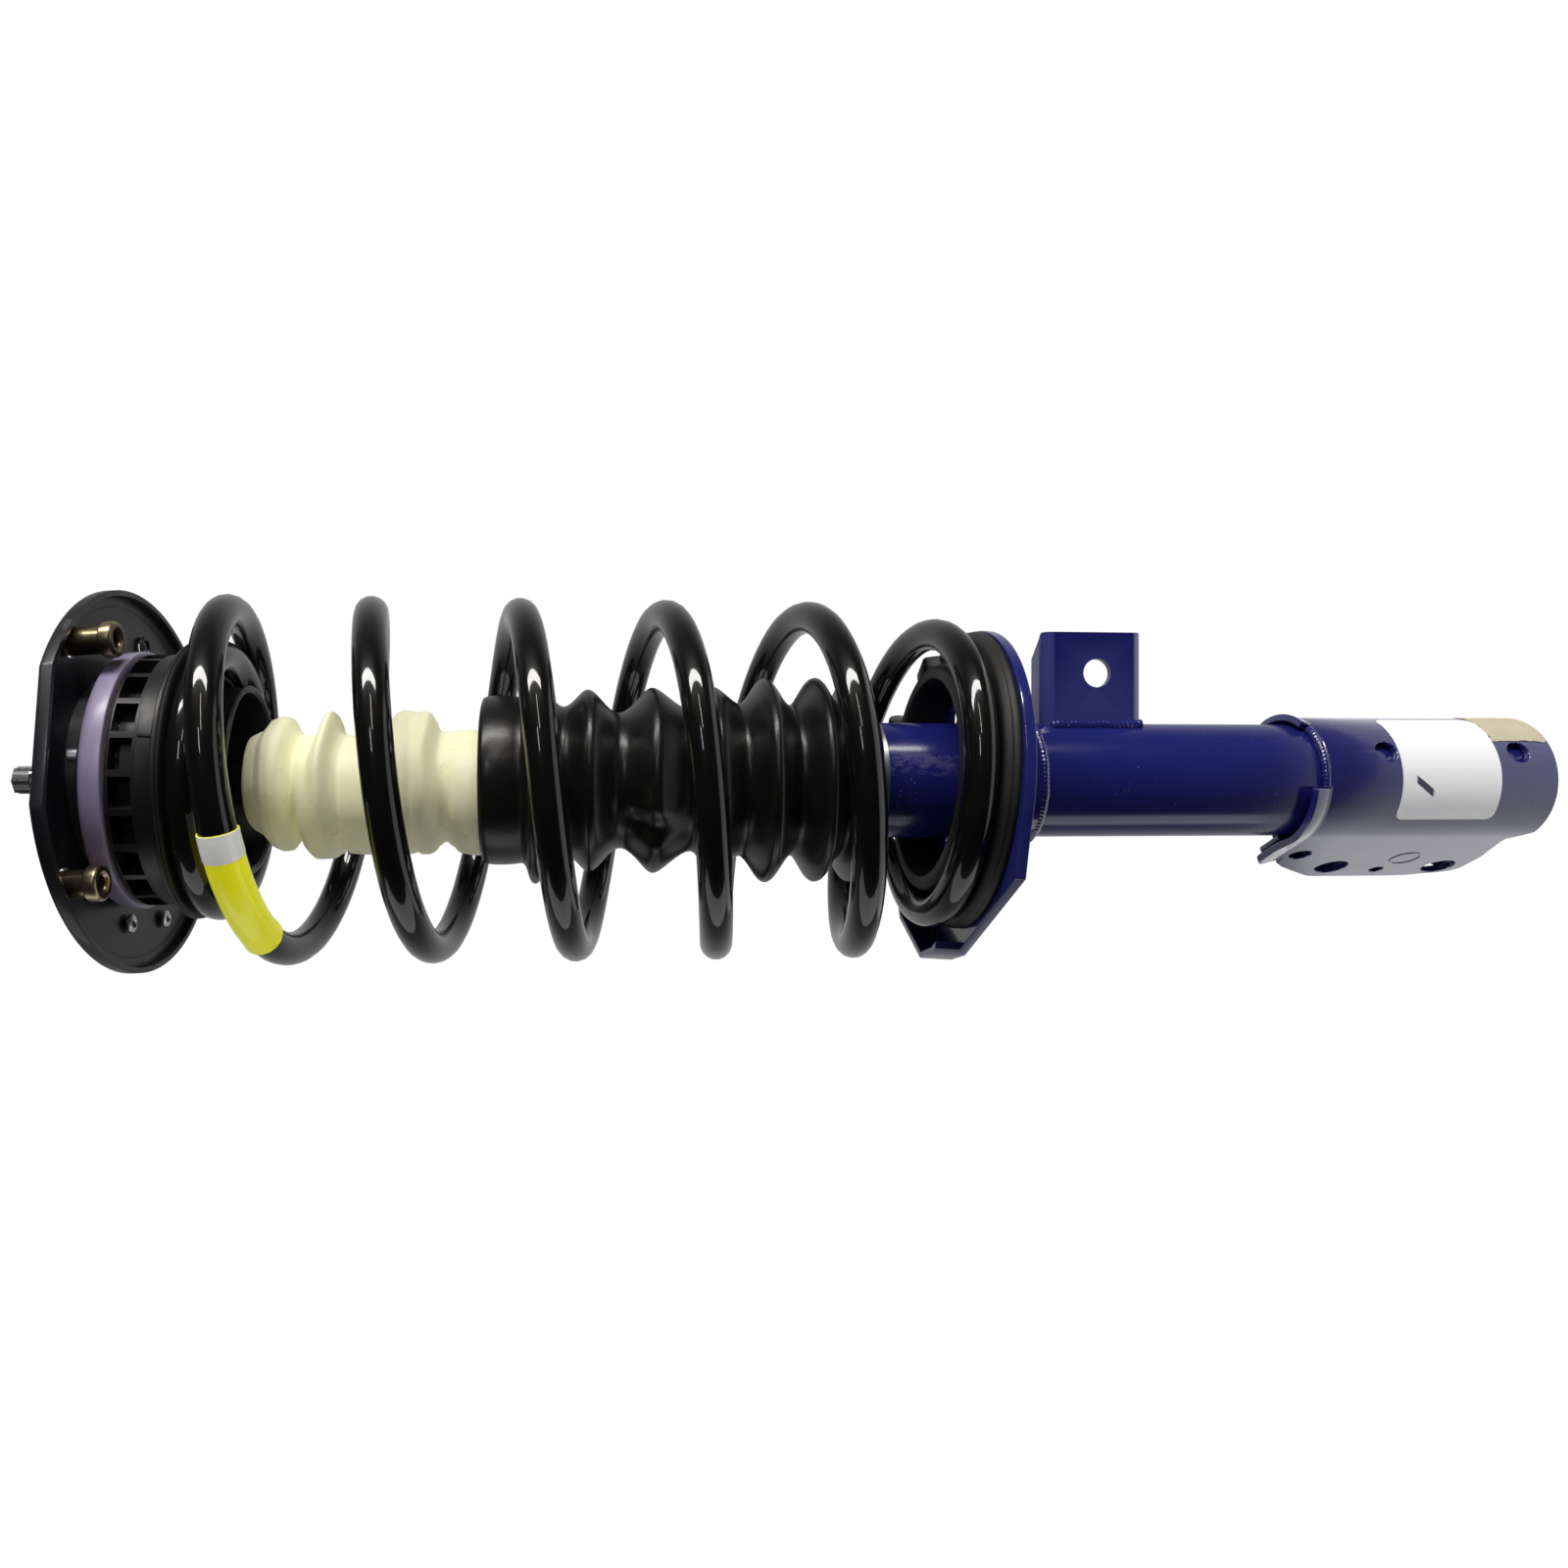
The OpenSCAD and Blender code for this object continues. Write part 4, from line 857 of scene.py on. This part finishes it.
slots = [f for f, m in middles.items() if abs(m.z - pocket_z) < 1.5 and m.xy.length > 50
    and round(heading(m) / 360 * ribs * rib_steps - 0.5) % rib_steps]
bmesh.ops.inset_region(housing, faces=slots, thickness=0.12, depth=0, use_boundary=True)
pockets = bmesh.ops.extrude_face_region(housing, geom=slots)
bmesh.ops.delete(housing, geom=slots, context="FACES")
for vert in corners_of(pockets):
    reach = vert.co.xy.length
    vert.co.x, vert.co.y = vert.co.x * pocket_r / reach, vert.co.y * pocket_r / reach
faced_out(housing)
piece("bearing_housing", housing, nylon, "spring_seat", "black_plastic", "bearing_seat")
# the snap hook that keeps the two halves of the bearing together
hook = slab(52.3, ((0, -33.2), (1.6, -33.2), (0, -27.4), (1.6, -27.4)), 0.9)
arm = bmesh.ops.extrude_face_region(hook, geom=[f for f in hook.faces if f.calc_center_median().y > 1.5])
shifted(hook, arm, (-0.6, 9, 0))
rounded(hook, hook.edges[:], 0.35, 2)
placed(hook, spun(262))
faced_out(hook)
piece("housing_hook", hook, nylon, "spring_seat", "black_plastic")
cup = revolved([(17, -20, 0.4), (39.2, -20, 0.6), (39.2, -54.6, 0.3), (39.9, -55.2, 0.4),
    (39.9, -56.6, 0.4), (38, -57, 0.4), (36.9, -56, 0.4), (36.7, -22.5, 2), (17, -22.5, 0.4)], 128)
piece("stop_cup", cup, nylon, "spring_seat", "black_plastic", "seat_cup")

# ---- Upper isolator: the rubber ring between the housing and the wire's dead coil, with two
# sealing ridges round its rim.
collar = revolved([(42.9, -44.4, 0.4), (44.7, -44.4, 0.4), (44.7, -38.2, 0.5), (57.4, -38, 0.5),
    (58.3, -37.3, 0.3), (57.5, -36.7, 0.2), (58.4, -36.1, 0.3), (58.2, -35.6, 0.2), (42.9, -35.6, 0.3)],
    128)
piece("upper_rubber", collar, rubber, "spring_seat", "rubber", "upper_isolator")

# ---- Bearing: a lavender cap ring over a caged ball race. Only the cap shows between the plate
# and the housing; the balls and their cage lie between the two halves.


def two_toned(name, blotch, low, high, rough, spread, fine, **fixed):
    """A finish of two tones in blotches and a fine-grained roughness, each as (size, detail)."""
    made, at, shader = finish(name, **fixed)
    plug(shader, Base_Color=mix(grain(at, *blotch), low, high), Roughness=rough + spread * grain(at, *fine))
    return made


lavender, at, shader = finish("acetal_lavender", Coat_Weight=0.25, Coat_Roughness=0.2,
    Subsurface_Weight=0.12)
flow = grain(at, 14, 3, 0.6, (1, 1, 3))
colour = mix(flow, (0.24, 0.21, 0.34), (0.33, 0.29, 0.43))
# painted highlight: the ring is paler along its outer edges
plug(shader, Base_Color=mix(edge_highlight(at, 0.53, 0.62) * 0.6, colour, (0.60, 0.58, 0.62)),
    Roughness=0.30 + 0.12 * flow, Normal=relief(grain(at, 1.5, 2) + flow, 0.03))
cap_ring = revolved([(40, -6.4, 0.5), (52.2, -6.4, 0.8), (53.2, -8.2, 0.6), (53.7, -12.6, 0.4),
    (53.7, -15, 0.5), (50.2, -15.2, 0.2), (50.2, -13.7, 0.2), (41.8, -13.7, 0.2), (41.8, -15.2, 0.2),
    (40, -15.2, 0.4)], 128)
piece("bearing_cap", cap_ring, lavender, "top_mount", "lavender_plastic", "bearing_top_ring")
ball_steel = two_toned("ball_steel", (3,), (0.62, 0.63, 0.65), (0.75, 0.76, 0.78), 0.08, 0.05, (1.5,),
    Metallic=1)
coated(ball_steel, "bearing_balls")
cage_nylon = two_toned("cage_nylon", (8,), (0.58, 0.54, 0.40), (0.70, 0.66, 0.52), 0.38, 0.1, (2,),
    Subsurface_Weight=0.2)
coated(cage_nylon, "bearing_cage")

# ---- Mount plate: pressed steel, satin black, with its rim turned down and one side straight. The
# dome for the rubber bush is pressed up through it, and a level land takes the bearing.
mount_tip = spun(5.3, turned(191))
satin_black, at, shader = finish("satin_black_coat", Coat_Weight=0.2, Coat_Roughness=0.15,
    Specular_IOR_Level=0.3)
tone = grain(at, 30, 4, 0.6)
rub = ramp(grain(at, 6, 5, 0.75), 0.60, 0.74) * 0.5
colour = mix(tone, (0.0055, 0.0052, 0.0085), (0.011, 0.0105, 0.016))
# painted highlight along outer edges, with real rubbed patches
plug(shader, Base_Color=mix(edge_highlight(at) * 0.5 + rub * 0.12, colour, (0.09, 0.09, 0.10)),
    Roughness=0.32 + 0.16 * tone, Normal=relief(grain(at, 0.9, 2) + 0.5 * grain(at, 9), 0.03))


def plate_place(direction, reach):
    """A matrix in metres for a place on the leaning plate, from its direction and distance in mm."""
    return mount_tip @ Matrix.Translation(turned(direction) * reach / 1000)


def on_plate(shape, direction=0, reach=0):
    """Moves a shape in mm out to its place on the leaning plate, and returns it."""
    bmesh.ops.translate(shape, verts=shape.verts[:], vec=turned(direction) * reach)
    placed(shape, mount_tip)
    return shape


plate_r, plate_t, plate_off, plate_heading, flat_off, flat_heading = 81.9, 2.3, 14.3, 68, 63.4, 257.4
# the places of the three sleeves and of the small flanged hole, as (direction, distance)
sleeve_places, hole_place = ((203.5, 61.3), (303.2, 63.1), (72, 84)), (0.8, 66.3)
plate = bmesh.new()
bmesh.ops.create_circle(plate, cap_ends=True, segments=160, radius=plate_r,
    matrix=spun(plate_heading) @ Matrix.Translation((plate_off, 0, 0)))
sliced(plate, turned(flat_heading) * flat_off, turned(flat_heading), 1e-4, True)
faced_out(plate)
if plate.faces[:][0].normal.z < 0:
    bmesh.ops.reverse_faces(plate, faces=plate.faces[:])
skirt = bmesh.ops.extrude_edge_only(plate, edges=[e for e in plate.edges if e.is_boundary])
shifted(plate, skirt, (0, 0, -5.5))
rounded(plate, [e for e in plate.edges if not e.is_boundary and e.calc_face_angle(0) > 1.2], 1.7, 5,
    clamped=False)
panel = max(plate.faces, key=lambda f: f.calc_area())
bmesh.ops.inset_region(plate, faces=[panel], thickness=3.6, depth=0, use_even_offset=True)
bmesh.ops.inset_region(plate, faces=[panel], thickness=0.9, depth=0.9, use_even_offset=True)
faced_out(plate)
placed(plate, mount_tip)
sheet = piece("tower_plate", plate, satin_black, "top_mount", "black_plate", "mount_plate")
walled(sheet, plate_t)
edge = sheet.modifiers.new("edge", "BEVEL")
edge.width, edge.segments, edge.limit_method, edge.angle_limit = 0.0005, 2, "ANGLE", math.radians(50)
settled(sheet)
opened(sheet, (30.2, mount_tip), (3, plate_place(*hole_place)),
    *[(6.5, plate_place(*p)) for p in sleeve_places])
land = cylinder(42.5, 14.4, 128, Matrix.Translation((0, 0, 0.8)))
sliced(land, (0, 0, -1.2), mount_tip.to_3x3() @ Vector((0, 0, 1)), 1e-4, True)
stopped(land, 0)
piece("bearing_land", land, satin_black, "top_mount", "black_plate")
dome = revolved([(30, -1.5), (33.6, -1.5), (33.6, -0.2, 0.8), (32.5, 1.4, 0.9), (32.5, 16, 1.8),
    (26, 16, 0.6), (26, 13.5, 0.6), (30, 13.5, 0.8)], 128)
rim = revolved([(2.9, -2), (4.9, -2.2, 0.3), (4.5, -3.4, 0.5), (3.3, -3.5, 0.5), (2.9, -2.4)], 32)
piece("bush_dome", on_plate(dome), satin_black, "top_mount", "black_plate", "mount_dome")
piece("hole_rim", on_plate(rim, *hole_place), satin_black, "top_mount", "black_plate")

# ---- Threaded sleeves, rivets and clip: turned steel. The sleeves are yellow-passivated zinc,
# pressed through the plate, with a thicker collar and a chamfer at the free end.
yellow_zinc, at, shader = finish("yellow_zinc", Metallic=1)
hue = grain(at, 7, 4, 0.6)
pink_tint_and_sheen = ramp(grain(at, 11, 3), 0.45, 0.7)
colour = mix(hue, (0.24, 0.19, 0.11), (0.42, 0.36, 0.23))
# pink blotches: partly the passivation's own tint, partly a painted sheen
plug(shader, Base_Color=mix(pink_tint_and_sheen * 0.5, colour, (0.56, 0.36, 0.34)),
    Roughness=0.24 + 0.16 * grain(at, 2.5, 3), Normal=relief(grain(at, 0.5, 2, 0.5, (12, 12, 1)), 0.02))
for name, spot, length, stands_for in zip(("sleeve_a", "sleeve_b", "sleeve_c"), sleeve_places, (16, 20, 18),
        (["tower_nuts"], [], [])):
    sleeve = revolved([(4.4, 0, 0.3), (5.6, 0, 0.3), (5.4, 5.6 - length, 0.3), (7.1, 5 - length, 0.4),
        (7.1, 1 - length, 0.4), (6.2, -length, 0.3), (4.6, -length, 0.3), (3.4, 1.4 - length, 0.2),
        (3.4, -2, 0.2)], 64)
    piece(name, on_plate(sleeve, *spot), yellow_zinc, "top_mount", "yellow_zinc", *stands_for)
bright_zinc, at, shader = finish("bright_zinc", Metallic=1)
spangle = grain(at, 4, 3, 0.6)
plug(shader, Base_Color=mix(spangle, (0.42, 0.43, 0.45), (0.64, 0.65, 0.67)),
    Roughness=0.26 + 0.18 * spangle, Normal=relief(grain(at, 0.7, 3), 0.02))
for name, spot, stands_for in (("rivet_a", (152.4, 60.8), ["plate_rivets"]), ("rivet_b", (125, 71.9), [])):
    rivet = revolved([(1.4, 0.1, 0.2), (3.6, 0.1, 0.2), (3.4, 0.8, 0.4), (1.9, 0.9, 0.3), (1.4, 0.2),
        (1.4, -3.4, 0.3), (2.3, -4.2, 0.4), (3.9, -3.6, 0.5), (4.1, -2.4, 0.3), (1.5, -2.4)], 32)
    piece(name, on_plate(rivet, *spot), bright_zinc, "top_mount", "bright_zinc", *stands_for)
# the clip is an open oval of strip, bent round, under the plate's straight side
clip = bmesh.new()
bmesh.ops.create_circle(clip, cap_ends=False, segments=28, radius=2.8,
    matrix=Matrix.Diagonal((0.7, 1.1, 1, 1)))
bmesh.ops.delete(clip, geom=[v for v in clip.verts if v.co.x < -1.6], context="VERTS")
shifted(clip, bmesh.ops.extrude_edge_only(clip, edges=clip.edges[:]), (0, 0, -3.6))
faced_out(clip)
bmesh.ops.solidify(clip, geom=clip.faces[:], thickness=0.7)
placed(clip, spun(254))
placed(clip, Matrix.Translation(turned(254.3) * 50 + Vector((0, 0, -2.2))))
piece("race_clip", clip, bright_zinc, "top_mount", "bright_zinc")

# ---- Bush, washer and rod nut: the rubber bush is bonded to a steel core that the rod's shoulder
# bears on; the washer over it catches the strut on rebound, and the nut pulls the stack tight.
machined, at, shader = finish("machined_steel", Metallic=1)
turning = grain(at, 0.35, 2, 0.5, (30, 30, 1))
plug(shader, Base_Color=mix(grain(at, 12, 3), (0.36, 0.36, 0.37), (0.52, 0.52, 0.53)),
    Roughness=0.28 + 0.16 * turning, Normal=relief(turning, 0.015))
bush = revolved([(16.4, -5.2, 0.6), (20, -5, 0.8), (29.9, -4.2, 0.8), (29.9, 13.2, 0.6), (26.2, 13.4, 0.4),
    (24, 14.6, 0.8), (17, 14.8, 0.8), (12, 12.6, 1), (10.2, 14.6, 0.6), (10.2, -5, 0.4)], 96)
piece("bush_rubber", on_plate(bush), rubber, "top_mount", "rubber", "mount_rubber")
for name, stands_for, rounding, skin, slot in (("bush_core", "mount_core", 0.5, machined, "steel"),
        ("stack_washer", "rebound_washer", 0.6, bright_zinc, "bright_zinc"),
        ("stack_nut", "rod_nut", 0.6, bright_zinc, "bright_zinc")):
    piece(name, from_cad(stands_for, rounding), skin, "top_mount", slot, stands_for)

# ---- Piston rod and damper internals: a ground, chrome-plated rod with a hex tip to hold it while
# the nut is done up. The piston, guide, seal and foot valve sit inside the tube.
chrome, at, shader = finish("hard_chrome", Metallic=1)
plug(shader, Base_Color=mix(grain(at, 20, 2), (0.60, 0.61, 0.63), (0.72, 0.73, 0.75)),
    Roughness=0.07 + 0.06 * grain(at, 1.2, 2, 0.5, (8, 8, 1)),
    Normal=relief(grain(at, 0.6, 2, 0.5, (10, 10, 1)), 0.004))
coated(chrome, "piston_rod")
thread_pitch, thread_root, thread_crest = 1.25, 5.4, 6.12
thread = [(r, z - i * thread_pitch) for i in range(16)
    for r, z in ((thread_root, 31.4), (thread_crest, 31), (thread_crest, 30.75))]
end = revolved([(0.5, 31.6), (5.2, 31.6)] + thread + [(thread_root, 11.4), (0.5, 11.4)], 48)
piece("rod_thread", end, machined, "top_mount", "steel")
dull_steel = two_toned("phosphated_steel", (5, 3), (0.22, 0.22, 0.23), (0.34, 0.34, 0.35), 0.50, 0.15,
    (1.5, 2), Metallic=0.6)
tip = cylinder(5.98, 15, 6, Matrix.Translation((0, 0, 31.48)))
rounded(tip, tip.edges[:], 0.7)
piece("rod_tip_hex", tip, dull_steel, "top_mount", "steel")
coated(machined, "pressure_tube", "base_valve", "piston_nut", "gland_cap")
sintered = two_toned("sintered_steel", (1.2, 3), (0.20, 0.20, 0.21), (0.32, 0.32, 0.33), 0.45, 0.2,
    (0.8, 2), Metallic=0.8)
coated(sintered, "rod_guide", "piston")
ptfe = two_toned("dark_polymer", (6, 3), (0.015, 0.015, 0.017), (0.035, 0.035, 0.038), 0.4, 0.15, (2,))
coated(ptfe, "rebound_ring", "piston_band", "rod_seal")
